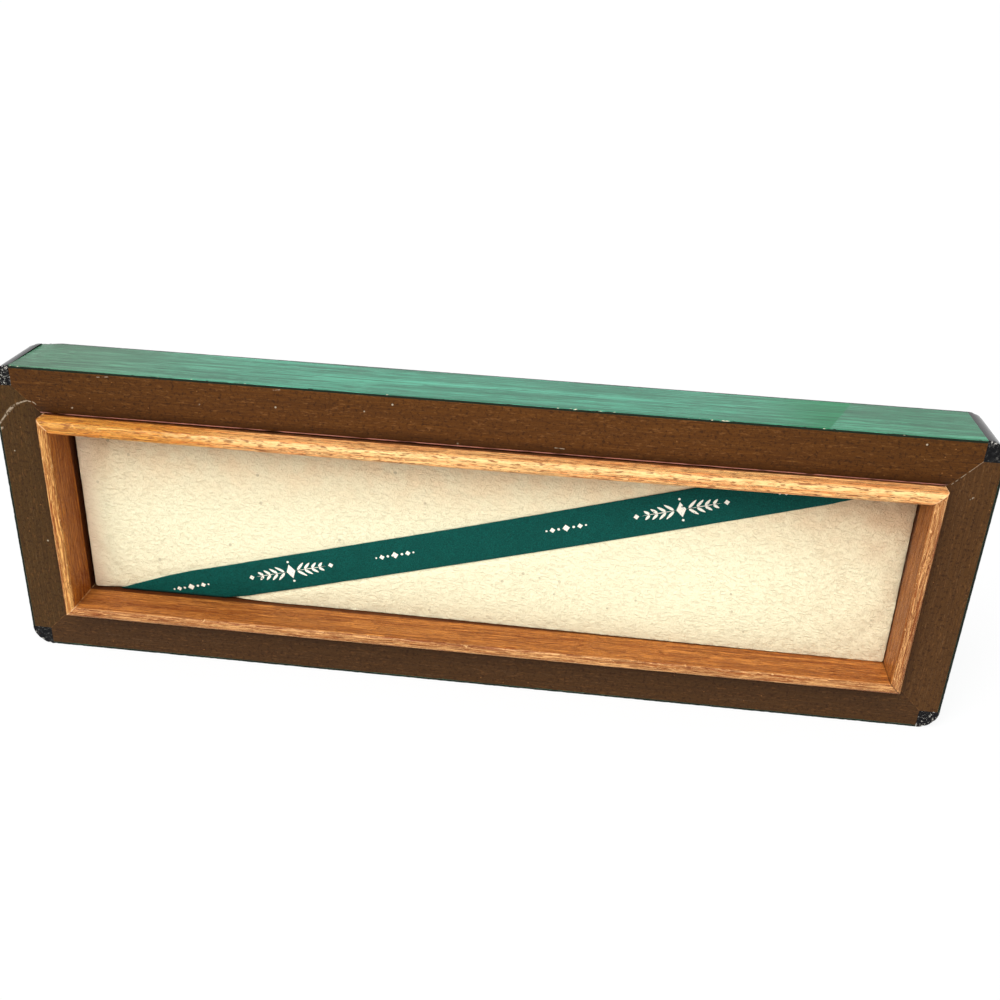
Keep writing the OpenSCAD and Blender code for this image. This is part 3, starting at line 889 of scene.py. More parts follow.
def mitred_strip():
    """Geometry tree: a profile swept along X between two mitred or leaning ends, with chipped edges."""
    sizes = {"Left": -0.1, "Right": 0.1, "Mitre start": 0.0, "Left lean": 0.0, "Right lean": 0.0}
    sizes |= {"Lean depth": 0.0, "Spacing": 0.001, "Chip depth": 0.0001, "Chip size": 0.001}
    sizes |= {"Bow": 0.0, "Bow middle": 0.0, "Seed": 0.0}
    inputs = {GEOMETRY: {"Geometry": None}, FLOAT: sizes, MATERIAL: {"Finish": None}}
    web, given = new_tree("Mitred strip", "GeometryNodeTree", inputs, {"Geometry": GEOMETRY})
    ends = {"Start": web.xyz(given["Left"], 0.0, 0.0), "End": web.xyz(given["Right"], 0.0, 0.0)}
    path = web.take("GeometryNodeCurvePrimitiveLine", ends)
    path = web.take("GeometryNodeResampleCurve", {"Curve": path, "Length": given["Spacing"]}, mode="LENGTH")
    profile = web.take("GeometryNodeMeshToCurve", {"Mesh": given["Geometry"]})
    plugs = {"Curve": path, "Profile Curve": profile, "Fill Caps": True}
    swept = web.take("GeometryNodeCurveToMesh", plugs)

    def named(attribute):
        kind = "GeometryNodeInputNamedAttribute"
        return web.take(kind, {"Name": attribute}, "Attribute", data_type="FLOAT")

    def stored(geometry, name, value):
        plugs = {"Geometry": geometry, "Name": name, "Value": value}
        return web.take("GeometryNodeStoreNamedAttribute", plugs, data_type="FLOAT", domain="POINT")

    depth, inset, arris = named("depth"), named("inset"), named("arris")
    spot = web.take("GeometryNodeInputPosition")
    share = (spot.part("X") - given["Left"]) / (given["Right"] - given["Left"])
    mitre = (inset - given["Mitre start"]).most(0.0)
    past = depth - given["Lean depth"]
    left = given["Left"] + mitre + past * given["Left lean"]
    right = given["Right"] - mitre + past * given["Right lean"]
    x = left + share * (right - left)
    from_middle = (x - given["Bow middle"]) / given["Right"]
    bow = (1.0 - from_middle * from_middle).clamped() * given["Bow"] * named("bowed")
    spot = web.xyz(x, depth, inset + bow)
    plugs = {"Vector": spot * (1.0 / given["Chip size"]), "W": given["Seed"], "Scale": 1.0}
    plugs |= {"Detail": 2.0, "Roughness": 0.6}
    rough = web.take("ShaderNodeTexNoise", plugs, "Fac", noise_dimensions="4D")
    wear = rough.step(0.58, 0.72) * arris + rough.step(0.35, 0.6) * (arris * 0.25)
    outwards = web.xyz(0.0, named("out_depth"), named("out_inset"))
    marked = stored(stored(swept, "wear", wear), "edge", arris)
    plugs = {"Geometry": marked, "Position": spot - outwards * (wear * given["Chip depth"])}
    return finished(web, web.take("GeometryNodeSetPosition", plugs), given["Finish"])


def grown(mesh, maker, values):
    """The plain mesh that a geometry tree makes of this one."""
    holder = bpy.data.objects.new("maker", mesh)
    modifier = holder.modifiers.new("Grow", "NODES")
    modifier.node_group = group_of(maker)
    for item in modifier.node_group.interface.items_tree:
        if item.in_out == "INPUT" and item.name in values:
            modifier[item.identifier] = values[item.name]
    bpy.context.scene.collection.objects.link(holder)
    graph = bpy.context.evaluated_depsgraph_get()
    evaluated = holder.evaluated_get(graph)
    made = bpy.data.meshes.new_from_object(evaluated, preserve_all_data_layers=True, depsgraph=graph)
    bpy.data.objects.remove(holder)
    return made


def side_place(side):
    """Carries a strip drawn as (along, depth, inset) to its side of the box."""
    if side == "top":
        return Matrix.Translation((0.0, 0.0, HEIGHT)) @ Matrix.Diagonal((1.0, 1.0, -1.0, 1.0))
    if side == "bottom":
        return Matrix.Identity(4)
    sign = -1 if side == "left" else 1
    turn = Matrix.Rotation(-sign * math.pi / 2, 4, "Y")
    return Matrix.Translation((sign * HALF_LENGTH, 0.0, MIDDLE)) @ turn


def fold_caps(mesh):
    """Splits a strip's end faces where its mitre starts, because they fold there."""
    shape = bmesh.new()
    shape.from_mesh(mesh)
    inset = shape.verts.layers.float["inset"]
    for cap in [face for face in shape.faces if len(face.verts) > 4]:
        fold = [vert for vert in cap.verts if abs(vert[inset] - BEAD) < 1e-7]
        if len(fold) == 2:
            bmesh.utils.face_split(cap, *fold)
    shape.to_mesh(mesh)
    shape.free()


def make_strip(name, side, loop, start, finish, values, bowed_to=-1.0):
    """One strip of the frame, mitred from start inwards.

    loop is from rounded_loop; the part in front of bowed_to takes the bow.
    """
    profile = bpy.data.meshes.new(name + "_profile")
    edges = [(i, (i + 1) % len(loop)) for i in range(len(loop))]
    profile.from_pydata([(depth, inset, 0.0) for depth, inset, *_ in loop], edges, [])
    keys = ("depth", "inset", "out_depth", "out_inset", "arris")
    columns = {key: [point[k] for point in loop] for k, key in enumerate(keys)}
    columns["bowed"] = [float(point[0] < bowed_to) for point in loop]
    for key, column in columns.items():
        profile.attributes.new(key, "FLOAT", "POINT").data.foreach_set("value", column)
    sizes = bpy.context.scene.tray_sizes
    half = (MIDDLE if side in ("left", "right") else HALF_LENGTH) - start
    settings = {"Left": -half, "Right": half, "Mitre start": start, "Spacing": sizes.ring_spacing}
    settings |= {"Chip depth": sizes.chip_depth, "Chip size": sizes.chip_size}
    settings |= {"Seed": float(SIDES.index(side)) * 7.3 + 1.0, "Finish": finish, **values}
    mesh = grown(profile, mitred_strip, settings)
    fold_caps(mesh)
    mesh.transform(side_place(side))
    outward(mesh)
    for key in columns:
        if key != "inset" and key in mesh.attributes:
            mesh.attributes.remove(mesh.attributes[key])
    smooth(mesh)
    mesh.name = name
    return link(name, mesh)


def knock_corner(mesh):
    """Sinks the top's back left corner, where the box was knocked."""
    end = BEAD - HALF_LENGTH
    for vert in mesh.vertices:
        if vert.co.z > HEIGHT - 0.5 * MM:
            near = eased(vert.co.x, end + 7 * MM, end) * eased(vert.co.y, BACK - 6 * MM, BACK - 0.5 * MM)
            vert.co.z -= 0.6 * MM * near


# Operators


class DISPLAYBOX_OT_stage(bpy.types.Operator):
    """Make the camera, the lamps, the white surround and the floor"""

    bl_idname = "displaybox.stage"
    bl_label = "Stage"

    def camera(self, scene):
        camera = bpy.data.cameras.new("camera")
        camera.lens = CAMERA_LENS
        camera.sensor_width = 36.0
        camera.clip_start = 0.01
        camera.clip_end = 50.0
        ahead = Vector(CAMERA_AHEAD).normalized()
        up = Vector(CAMERA_RIGHT).normalized().cross(ahead).normalized()
        turn = Matrix((ahead.cross(up), up, -ahead)).transposed().to_4x4()
        scene.camera = link("camera", camera)
        scene.camera.matrix_world = Matrix.Translation(CAMERA_PLACE) @ turn
        scene.view_settings.view_transform = "Standard"

    def lamp(self, name, strength, spread, toward):
        lamp = bpy.data.lights.new(name, "SUN")
        lamp.energy = strength
        lamp.angle = math.radians(spread)
        holder = link(name, lamp)
        holder.rotation_euler = Vector(toward).to_track_quat("-Z", "Y").to_euler()
        holder.location = -Vector(toward)

    def seen(self, web):
        """1 for the rays that show a surface plainly, and 0 for those that light others."""
        ray = web.add("ShaderNodeLightPath")
        return ray["Is Camera Ray"].most(ray["Is Glossy Ray"]).most(ray["Is Transmission Ray"])

    def surround(self, scene, sky):
        scene.world = bpy.data.worlds.new("surround")
        scene.world.use_nodes = True
        scene.world.node_tree.nodes.clear()
        web = Web(scene.world.node_tree)
        dim = web.take("ShaderNodeBackground", {"Color": WHITE, "Strength": sky})
        white = web.take("ShaderNodeBackground", {"Color": WHITE, "Strength": 1.0})
        both = web.take("ShaderNodeMixShader", {0: self.seen(web), 1: dim, 2: white})
        web.add("ShaderNodeOutputWorld", {"Surface": both})

    def floor(self, glow):
        material, web, _ = new_material("floor")
        chalk = web.take("ShaderNodeBsdfDiffuse", {"Color": CHALK})
        white = web.take("ShaderNodeEmission", {"Color": WHITE, "Strength": 1.0})
        both = web.take("ShaderNodeMixShader", {0: self.seen(web) * glow, 1: chalk, 2: white})
        web.add("ShaderNodeOutputMaterial", {"Surface": both})
        mesh = bpy.data.meshes.new("floor")
        corners = ((-1, -1), (1, -1), (1, 1), (-1, 1))
        spots = [(x * FLOOR_REACH, y * FLOOR_REACH, -FLOOR_DROP) for x, y in corners]
        mesh.from_pydata(spots, [], [(0, 1, 2, 3)])
        mesh.materials.append(material)
        link("floor", mesh)

    def execute(self, context):
        light = context.scene.tray_light
        self.camera(context.scene)
        self.lamp("key", light.key, KEY_SPREAD, KEY_TOWARD)
        self.lamp("side", light.side, SIDE_SPREAD, SIDE_TOWARD)
        self.surround(context.scene, light.sky)
        self.floor(light.floor_glow)
        return {"FINISHED"}


class DISPLAYBOX_OT_rails(bpy.types.Operator):
    """Make the four mitred rails of stained wood"""

    bl_idname = "displaybox.rails"
    bl_label = "Rails"

    def execute(self, context):
        sizes, colours = context.scene.tray_sizes, context.scene.tray_colours
        outline = [(FACE, PLY, 0.06 * MM), (FACE, BEAD, 0.0), (FACE, RAIL_WIDTH, sizes.rail_arris)]
        outline += [(BASE, RAIL_WIDTH, 0.0), (BASE, RAIL_WIDTH - REBATE, 0.0)]
        outline += [(RAIL_BACK, RAIL_WIDTH - REBATE, 0.0), (RAIL_BACK, BEAD, 0.0), (RAIL_BACK, STRING, 0.0)]
        outline += [(STRING_FRONT, STRING, 0.0), (STRING_FRONT, PLY, 0.0)]
        for number, side in enumerate(SIDES):
            finish = stained_rail(colours, side, 3.0 + number)
            values = {"Chip depth": 0.6 * sizes.chip_depth}
            rail = make_strip("rail_" + side, side, rounded_loop(outline), BEAD, finish, values)
            settle(rail, side + "_wall")
        return {"FINISHED"}


class DISPLAYBOX_OT_veneers(bpy.types.Operator):
    """Make the green veneer of the sides, its top in two leaves, and dress the back"""

    bl_idname = "displaybox.veneers"
    bl_label = "Veneers"

    def execute(self, context):
        sizes, colours = context.scene.tray_sizes, context.scene.tray_colours
        outline = [(FACE, 0.0, sizes.veneer_arris), (STRING_FRONT, 0.0, 0.03 * MM)]
        outline += [(STRING_FRONT, PLY, 0.0), (FACE, PLY, 0.0)]
        loop = rounded_loop(outline, steps=5)
        ink = veneer_cut_edge(colours)
        seam = {"Lean depth": (FACE + STRING_FRONT) / 2}
        leaves = (
            ("veneer_top_long", "top_veneer_long_leaf", {"Right": SEAM, "Right lean": SEAM_LEAN, **seam}),
            ("veneer_top_short", "top_veneer_short_leaf", {"Left": SEAM, "Left lean": SEAM_LEAN, **seam}),
            ("veneer_bottom", "bottom_veneer", {}),
            ("veneer_left", "left_veneer", {}),
            ("veneer_right", "right_veneer", {}),
        )
        for number, (name, node, values) in enumerate(leaves):
            side = node.split("_")[0]
            deepen = (SEAM - 36 * MM, SEAM + 6 * MM) if name == "veneer_top_long" else None
            finish = dyed_veneer(colours, "dyed_" + name, side, 11.0 + number, deepen)
            values["Chip size"] = 0.8 * sizes.chip_size
            values["Chip depth"] = sizes.chip_depth * (1.0 if side == "top" else 2.2)
            piece = make_strip(name, side, loop, BEAD, finish, values)
            if name == "veneer_top_long":
                knock_corner(piece.data)
            piece.data.materials.append(ink)
            for face in piece.data.polygons:
                if face.normal.y < (-0.75 if side == "top" else -0.05):
                    face.material_index = 1
            settle(piece, node)
        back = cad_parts["back_veneer"].data.materials
        back.clear()
        back.append(dyed_veneer(colours, "dyed_back", "top", 23.0))
        return {"FINISHED"}


class DISPLAYBOX_OT_edging(bpy.types.Operator):
    """Make the black corner beads and the stringing along the back edges"""

    bl_idname = "displaybox.edging"
    bl_label = "Black edging"

    def outline(self, front, back, rings=22):
        """The bead's side from front to back, as radius, depth and how freely that point chips."""
        quarter = [(math.sin(k / 5 * math.pi / 2), math.cos(k / 5 * math.pi / 2)) for k in range(6)]
        run = BACK - back - FACE - front
        points = [(0.0, FACE, 0.0)]
        points += [(BEAD * k / 4 + 0.6 * MM, FACE, 0.35 if k == 3 else 0.15) for k in range(4)]
        points += [(BEAD - front + front * sin, FACE + front - front * cos, 1.0) for sin, cos in quarter]
        for k in range(1, rings):
            points.append((BEAD, FACE + front + run * k / rings, 0.35 if k in (1, rings - 1) else 0.12))
        points += [(BEAD - back + back * cos, BACK - back + back * sin, 0.7) for sin, cos in quarter]
        return points + [(0.0, BACK, 0.0)]

    def bead(self, name, sx, sz, front, back, chip, steps=20):
        """A quarter-round column about the notch's inner corner, with chipped edges."""

        def spot(radius, depth, turn):
            x = HALF_LENGTH - BEAD + radius * math.sin(turn)
            return Vector((sx * x, depth, MIDDLE + sz * (MIDDLE - BEAD + radius * math.cos(turn))))

        shape = bmesh.new()
        wear = shape.verts.layers.float.new("wear")
        columns = []
        for step in range(steps + 1):
            turn = math.pi / 2 * step / steps
            column = []
            for radius, depth, loose in self.outline(front, back):
                whole = spot(radius, depth, turn)
                rough = noise.noise(whole / (1.1 * MM)) + 0.5 * noise.noise(whole / (0.45 * MM))
                bite = max(0.0, min(1.0, (rough - 0.05) * 2.2)) * loose
                if radius > BEAD * 0.5:
                    radius *= 1 - bite * chip / BEAD
                depth += bite * chip * (1 if depth < FACE + front else -1 if depth > BACK - back else 0)
                vert = shape.verts.new(spot(radius, depth, turn))
                vert[wear] = bite
                column.append(vert)
            columns.append(column)
        for a, b in zip(columns, columns[1:]):
            bridge(shape, a, b, closed=False)
        bmesh.ops.remove_doubles(shape, verts=shape.verts, dist=1e-7)
        bmesh.ops.holes_fill(shape, edges=[edge for edge in shape.edges if edge.is_boundary])
        bmesh.ops.recalc_face_normals(shape, faces=shape.faces)
        mesh = into_mesh(shape, name)
        smooth(mesh)
        return link(name, mesh)

    def execute(self, context):
        sizes, colours = context.scene.tray_sizes, context.scene.tray_colours
        lacquer = black_lacquer(colours, "black_lacquer", 0.15)
        knocked = black_lacquer(colours, "black_lacquer_knocked", 1.0)
        for corner, (sx, sz) in CORNERS.items():
            back = sizes.knocked_arris if corner == "top_left" else sizes.bead_back
            bead = self.bead("corner_bead_" + corner, sx, sz, sizes.bead_arris, back, 1.2 * sizes.chip_depth)
            bead.data.materials.append(knocked if corner in ("top_left", "bottom_right") else lacquer)
            settle(bead, "bead_" + corner)
        outline = [(STRING_FRONT, 0.0, 0.03 * MM), (BACK, 0.0, 0.8 * MM)]
        outline += [(BACK, STRING, 0.03 * MM), (STRING_FRONT, STRING, 0.0)]
        values = {"Chip depth": 0.5 * sizes.chip_depth}
        for side in SIDES:
            strip = make_strip("stringing_" + side, side, rounded_loop(outline), BEAD, lacquer, values)
            if side == "top":
                knock_corner(strip.data)
            settle(strip, "back_edge_" + side)
        return {"FINISHED"}


class DISPLAYBOX_OT_liner(bpy.types.Operator):
    """Make the four mitred liner strips that stand proud as a lip"""

    bl_idname = "displaybox.liner"
    bl_label = "Liner"

    def execute(self, context):
        sizes, colours = context.scene.tray_sizes, context.scene.tray_colours
        nose, inner = sizes.liner_nose, RAIL_WIDTH + LINER
        thick_to, thin_from = FACE + 3.0 * MM, FACE + 5.0 * MM
        for number, side in enumerate(SIDES):
            stout = sizes.liner_stout if side == "top" else 0.0
            outline = [(LIP_FRONT, RAIL_WIDTH, nose), (LIP_FRONT, inner + stout, nose)]
            outline += [(thick_to, inner + stout, 0.0), (thin_from, inner, 0.0), (BASE, inner, 0.0)]
            outline += [(depth, RAIL_WIDTH, 0.0) for depth in (BASE, thin_from, thick_to)]
            bow = sizes.liner_bow if side == "top" else 0.0
            values = {"Chip depth": 0.9 * sizes.chip_depth, "Bow": bow, "Bow middle": -0.02}
            finish = open_mahogany(colours, side, 31.0 + 3 * number)
            loop = rounded_loop(outline, steps=6)
            strip = make_strip("liner_strip_" + side, side, loop, RAIL_WIDTH, finish, values, FACE + 4 * MM)
            settle(strip, "liner_" + side)
        return {"FINISHED"}


def strap_edges(rise):
    """The strap's half widths above and below its middle line, gathered where it turns over the panel."""
    edge = PAD_HIGH.z - MIDDLE
    sag = 0.5 * MM * (1 - eased(rise, 0.0, 24 * MM))
    leading = STRAP_WIDTH / 2 * (1 - 0.45 * eased(abs(rise), 0.675 * edge, 1.15 * edge))
    trailing = STRAP_WIDTH / 2 * (1 - 0.10 * eased(abs(rise), 0.95 * edge, edge))
    above, below = (leading, trailing) if rise < 0 else (trailing, leading)
    return above - sag, below + sag


def outside_strap(x, z):
    """How far a point of the panel lies outside the strap's edge, or less than 0 under it."""
    rise = z - MIDDLE
    across = (rise - STRAP_RISE) * math.cos(STRAP_SLANT) - x * math.sin(STRAP_SLANT)
    above, below = strap_edges(rise)
    return across - above if across > 0 else -across - below


def on_contour(spot, flat, offset, corner, near=1.7 * MM):
    """Carries a point of a flat rectangle's border onto a rounded rectangle this much larger."""
    (x, z), (flat_x, flat_z) = spot, flat
    if flat_z - abs(z) > flat_x - abs(x):
        return on_contour((z, x), (flat_z, flat_x), offset, corner)[::-1]
    half_x, half_z = flat_x + offset, flat_z + offset
    radius = max(offset, 0.0) + corner if offset > -1 * MM else 0.4 * MM
    from_x = flat_x - abs(x)
    if from_x >= near:
        return x * (half_x - radius) / (flat_x - near), math.copysign(half_z, z)
    a = math.pi / 4 * (1 - from_x / near)
    return (
        math.copysign(half_x - radius + radius * math.sin(a), x),
        math.copysign(half_z - radius + radius * math.cos(a), z),
    )


class DISPLAYBOX_OT_panel(bpy.types.Operator):
    """Make the padded panel: leather drawn over foam, swelled by a cloth simulation"""

    bl_idname = "displaybox.panel"
    bl_label = "Padded panel"

    def rings(self, roll):
        """The leather's way round the panel's side and behind it, as offset and depth."""
        back_roll = 1.0 * MM
        side_start, side_end = PAD_LOW.y + roll, PAD_HIGH.y - back_roll
        window = -(TURN_IN + HIDE - roll)
        turns = (0.5, 1.05, math.pi / 2)
        rings = [(roll * math.sin(a), PAD_LOW.y + roll * (1 - math.cos(a))) for a in turns]
        rings += [(roll, side_start + (side_end - side_start) * k / 4) for k in (1, 2, 3, 4)]
        rings += [(roll - back_roll * (1 - math.cos(a)), side_end + back_roll * math.sin(a)) for a in turns]
        flat = roll - back_roll
        return rings + [(flat + (window - flat) * k / 5, PAD_HIGH.y) for k in (1, 2, 3, 4, 5)]

    def skin(self, sizes):
        """The leather's outer face as a mesh, and the vertices that the board holds still."""
        flat = flat_x, flat_z = PAD_HIGH.x - sizes.pad_roll, PAD_HIGH.z - MIDDLE - sizes.pad_roll
        count_x, count_z = round(2 * flat_x / sizes.pad_step), round(2 * flat_z / sizes.pad_step)
        shape = bmesh.new()
        grid = []
        for j in range(count_z + 1):
            z = MIDDLE - flat_z + 2 * flat_z * j / count_z
            row = [(-flat_x + 2 * flat_x * i / count_x, PAD_LOW.y, z) for i in range(count_x + 1)]
            grid.append([shape.verts.new(spot) for spot in row])
        for a, b in zip(grid, grid[1:]):
            bridge(shape, a, b, closed=False)
        border = grid[0][:-1] + [row[-1] for row in grid[:-1]]
        border += grid[-1][:0:-1] + [row[0] for row in grid[:0:-1]]
        base = [(vert.co.x, vert.co.z - MIDDLE) for vert in border]
        for vert, spot in zip(border, base):
            x, z = on_contour(spot, flat, 0.0, sizes.pad_corner)
            vert.co.x, vert.co.z = x, z + MIDDLE
        free = (count_x + 1) * (count_z + 1)
        previous = border
        for offset, depth in self.rings(sizes.pad_roll):
            spots = [on_contour(spot, flat, offset, sizes.pad_corner) for spot in base]
            ring = [shape.verts.new((x, depth, z + MIDDLE)) for x, z in spots]
            bridge(shape, previous, ring, flipped=True)
            previous = ring
        mesh = into_mesh(shape, "padded_panel")
        return mesh, list(range(free, len(mesh.vertices)))

    def lifted(self, rest, held, cap):
        """A quick stand-in for the simulation: a smooth rise that is 0 at the edges."""
        x = np.abs(rest[:, 0]) / PAD_HIGH.x
        z = np.abs(rest[:, 2] - MIDDLE) / (PAD_HIGH.z - MIDDLE)
        moved = np.zeros_like(rest)
        moved[:, 1] = -cap * np.clip(1 - x**12, 0, 1) * np.clip(1 - z**2.2, 0, 1)
        moved[held] = 0
        return moved

    def simulated(self, context, obj, rest, held):
        """Blows the leather up from below as cloth, and gives how far each point moved."""
        obj.vertex_groups.new(name="held").add(held, 1.0, "REPLACE")
        cloth = obj.modifiers.new("Swell", "CLOTH")
        for name, value in CLOTH_SETTINGS.items():
            setattr(cloth.settings, name, value)
        cloth.settings.effector_weights.gravity = 0.0
        cloth.collision_settings.use_collision = False
        cloth.point_cache.frame_start = 1
        cloth.point_cache.frame_end = CLOTH_FRAMES
        for number in range(CLOTH_FRAMES):
            context.scene.frame_set(number + 1)
        swelled = obj.evaluated_get(context.evaluated_depsgraph_get()).to_mesh()
        moved = np.empty(rest.size)
        swelled.vertices.foreach_get("co", moved)
        obj.modifiers.clear()
        context.scene.frame_set(1)
        return moved.reshape(-1, 3) - rest

    def swell(self, context, obj, held, cap):
        """Lifts the leather by pressure from below; no point moves further than cap."""
        mesh = obj.data
        rest = np.empty(len(mesh.vertices) * 3)
        mesh.vertices.foreach_get("co", rest)
        rest = rest.reshape(-1, 3)
        moved = self.simulated(context, obj, rest, held)
        reach = np.linalg.norm(moved, axis=1)
        scale = np.where(reach > 1e-9, cap * np.tanh(reach / cap) / np.maximum(reach, 1e-9), 0.0)
        mesh.vertices.foreach_set("co", (rest + moved * scale[:, None]).ravel())
        mesh.update()

    def crease(self, mesh, sizes):
        """Pushes the padding out, draws fine creases, and presses the strap's trough."""
        reach = 8 * MM
        for vert in mesh.vertices:
            x, y, z = vert.co
            free = max(outside_strap(x, z), 0.0)
            if y < PAD_HIGH.y - 1 * MM:
                push = sizes.pad_bulge * (1 - math.exp(-((free / (2.5 * MM)) ** 2)))
                tall = max(0.0, (abs(z - MIDDLE) - PAD_HIGH.z + MIDDLE) / reach + 1)
                vert.co.z += push * math.copysign(tall, z - MIDDLE)
                vert.co.x += push * max(0.0, (x - PAD_HIGH.x) / reach + 1)
                vert.co.x += sizes.pad_shy * max(0.0, (PAD_LOW.x - x) / reach + 1)
            if y > PAD_LOW.y + 1.2 * MM:
                continue
            spot = Vector((x / MM, 0.0, z / MM))
            corner = min(1.0, math.hypot(x / PAD_HIGH.x, 0.6 * (z - MIDDLE) / (PAD_HIGH.z - MIDDLE)))
            drawn = noise.noise(Vector((spot.x * 0.12 + spot.z * 0.05, 3.0, spot.z * 0.50 - spot.x * 0.05)))
            fine = noise.noise(Vector((spot.x * 0.30, 7.0, spot.z * 0.62 - spot.x * 0.04)))
            broad = noise.noise(Vector((spot.x * 0.035, 11.0, spot.z * 0.07)))
            y += sizes.crease_depth * ((0.35 + 1.1 * corner**3) * (drawn + fine) + 1.2 * broad)
            y += sizes.strap_press * math.exp(-((free / (1.5 * MM)) ** 2))
            y -= sizes.pad_full * eased(x, -60 * MM, PAD_HIGH.x) * eased(z, MIDDLE + 20 * MM, PAD_LOW.z)
            vert.co.y = y
        mesh.update()

    def execute(self, context):
        sizes, colours = context.scene.tray_sizes, context.scene.tray_colours
        mesh, held = self.skin(sizes)
        panel = link("padded_panel", mesh)
        self.swell(context, panel, held, sizes.pad_crown)
        applied(panel, "SUBSURF", subdivision_type="SIMPLE", levels=1, render_levels=1)
        self.crease(panel.data, sizes)
        applied(panel, "SOLIDIFY", thickness=0.9 * HIDE, offset=-1.0)
        panel.data.materials.clear()
        panel.data.materials.append(cream_hide(colours))
        smooth(panel.data, 60.0)
        settle(panel, "pad_cover")
        return {"FINISHED"}


class DISPLAYBOX_OT_strap(bpy.types.Operator):
    """Make the leather strap, drawn tight across the panel and down its long edges"""

    bl_idname = "displaybox.strap"
    bl_label = "Strap"

    def section(self, edge, thick):
        """The strap's cut section with round edges, as (across, tall) points."""
        half = STRAP_WIDTH / 2
        front = [(-half + edge + (2 * half - 2 * edge) * k / 28, thick) for k in range(29)]
        turns = (0.4, 0.8, 1.2, math.pi / 2)
        rounded = [(half - edge + edge * math.sin(a), thick - edge + edge * math.cos(a)) for a in turns]
        back = [(half - 0.05 * MM - (2 * half - 0.1 * MM) * k / 14, 0.0) for k in range(15)]
        mirrored = [(-across, tall) for across, tall in rounded[::-1]]
        return front + rounded + [(half, 0.1 * MM)] + back + [(-half, 0.1 * MM)] + mirrored

    def under(self, tree, roll, x, rise):
        """The panel's surface and its normal at a height that is measured along the leather."""
        flat, quarter = PAD_HIGH.z - MIDDLE - roll, roll * math.pi / 2
        past, sign = abs(rise) - flat, math.copysign(1, rise)
        level = rise if past <= 0 else sign * flat
        hit = tree.ray_cast(Vector((x, -0.1, MIDDLE + level)), Vector((0, 1, 0)))[0]
        front = (hit.y if hit else PAD_LOW.y) - STRAP_CLEAR
        if past <= 0:
            return Vector((x, front, MIDDLE + rise)), Vector((0, -1, 0))
        if past <= quarter:
            a = past / roll
            radius = roll + (PAD_LOW.y - front) * math.cos(a) + STRAP_CLEAR
            z = MIDDLE + sign * (flat + radius * math.sin(a))
            spot = Vector((x, PAD_LOW.y + roll - radius * math.cos(a), z))
            return spot, Vector((0, -math.cos(a), sign * math.sin(a)))
        z = MIDDLE + sign * (flat + roll + STRAP_CLEAR)
        return Vector((x, PAD_LOW.y + roll + past - quarter, z)), Vector((0, 0, sign))

    def row(self, shape, tree, sizes, rise):
        """The strap's section where it lies at this height."""
        half, thick = STRAP_WIDTH / 2, STRAP_THICK - STRAP_CLEAR
        turn_at = PAD_HIGH.z - MIDDLE
        waver = 0.06 * MM * noise.noise(Vector((rise / MM * 0.35, 5.0, 0.0)))
        above, below = strap_edges(rise)
        middle = (max(-turn_at, min(turn_at, rise)) - STRAP_RISE) / math.tan(STRAP_SLANT)
        row = []
        for across, tall in self.section(sizes.strap_edge, thick):
            side = across / half * (above if across > 0 else below) + waver * (1 if across > 0 else 0.6)
            spot, normal = self.under(tree, sizes.pad_roll, middle - side / math.sin(STRAP_SLANT), rise)
            sink = 0.07 * MM * (abs(across) / half) ** 8 if tall > 0.6 * thick else 0.0
            row.append(shape.verts.new(spot + normal * (tall - sink)))
        return row

    def execute(self, context):
        sizes, colours = context.scene.tray_sizes, context.scene.tray_colours
        tree = BVHTree.FromObject(bpy.data.objects["padded_panel"], context.evaluated_depsgraph_get())
        flat, quarter = PAD_HIGH.z - MIDDLE - sizes.pad_roll, sizes.pad_roll * math.pi / 2
        down = STRAP_TURN - sizes.pad_roll
        marks = [k * 0.25 * MM for k in range(int(flat / (0.25 * MM)))]
        marks += [flat + quarter * k / 12 for k in range(13)]
        marks += [flat + quarter + down * k / 8 for k in range(1, 9)]
        shape = bmesh.new()
        rows = [self.row(shape, tree, sizes, rise) for rise in [-mark for mark in marks[:0:-1]] + marks]
        for a, b in zip(rows, rows[1:]):
            bridge(shape, a, b)
        shape.faces.new(rows[0])
        shape.faces.new(rows[-1][::-1])
        bmesh.ops.recalc_face_normals(shape, faces=shape.faces)
        mesh = into_mesh(shape, "leather_strap")
        smooth(mesh)
        mesh.materials.append(strap_hide(colours))
        strap = settle(link("leather_strap", mesh), "strap")
        reach = 2 * (flat + quarter) / math.sin(STRAP_SLANT) + 2 * down
        return {"FINISHED"}


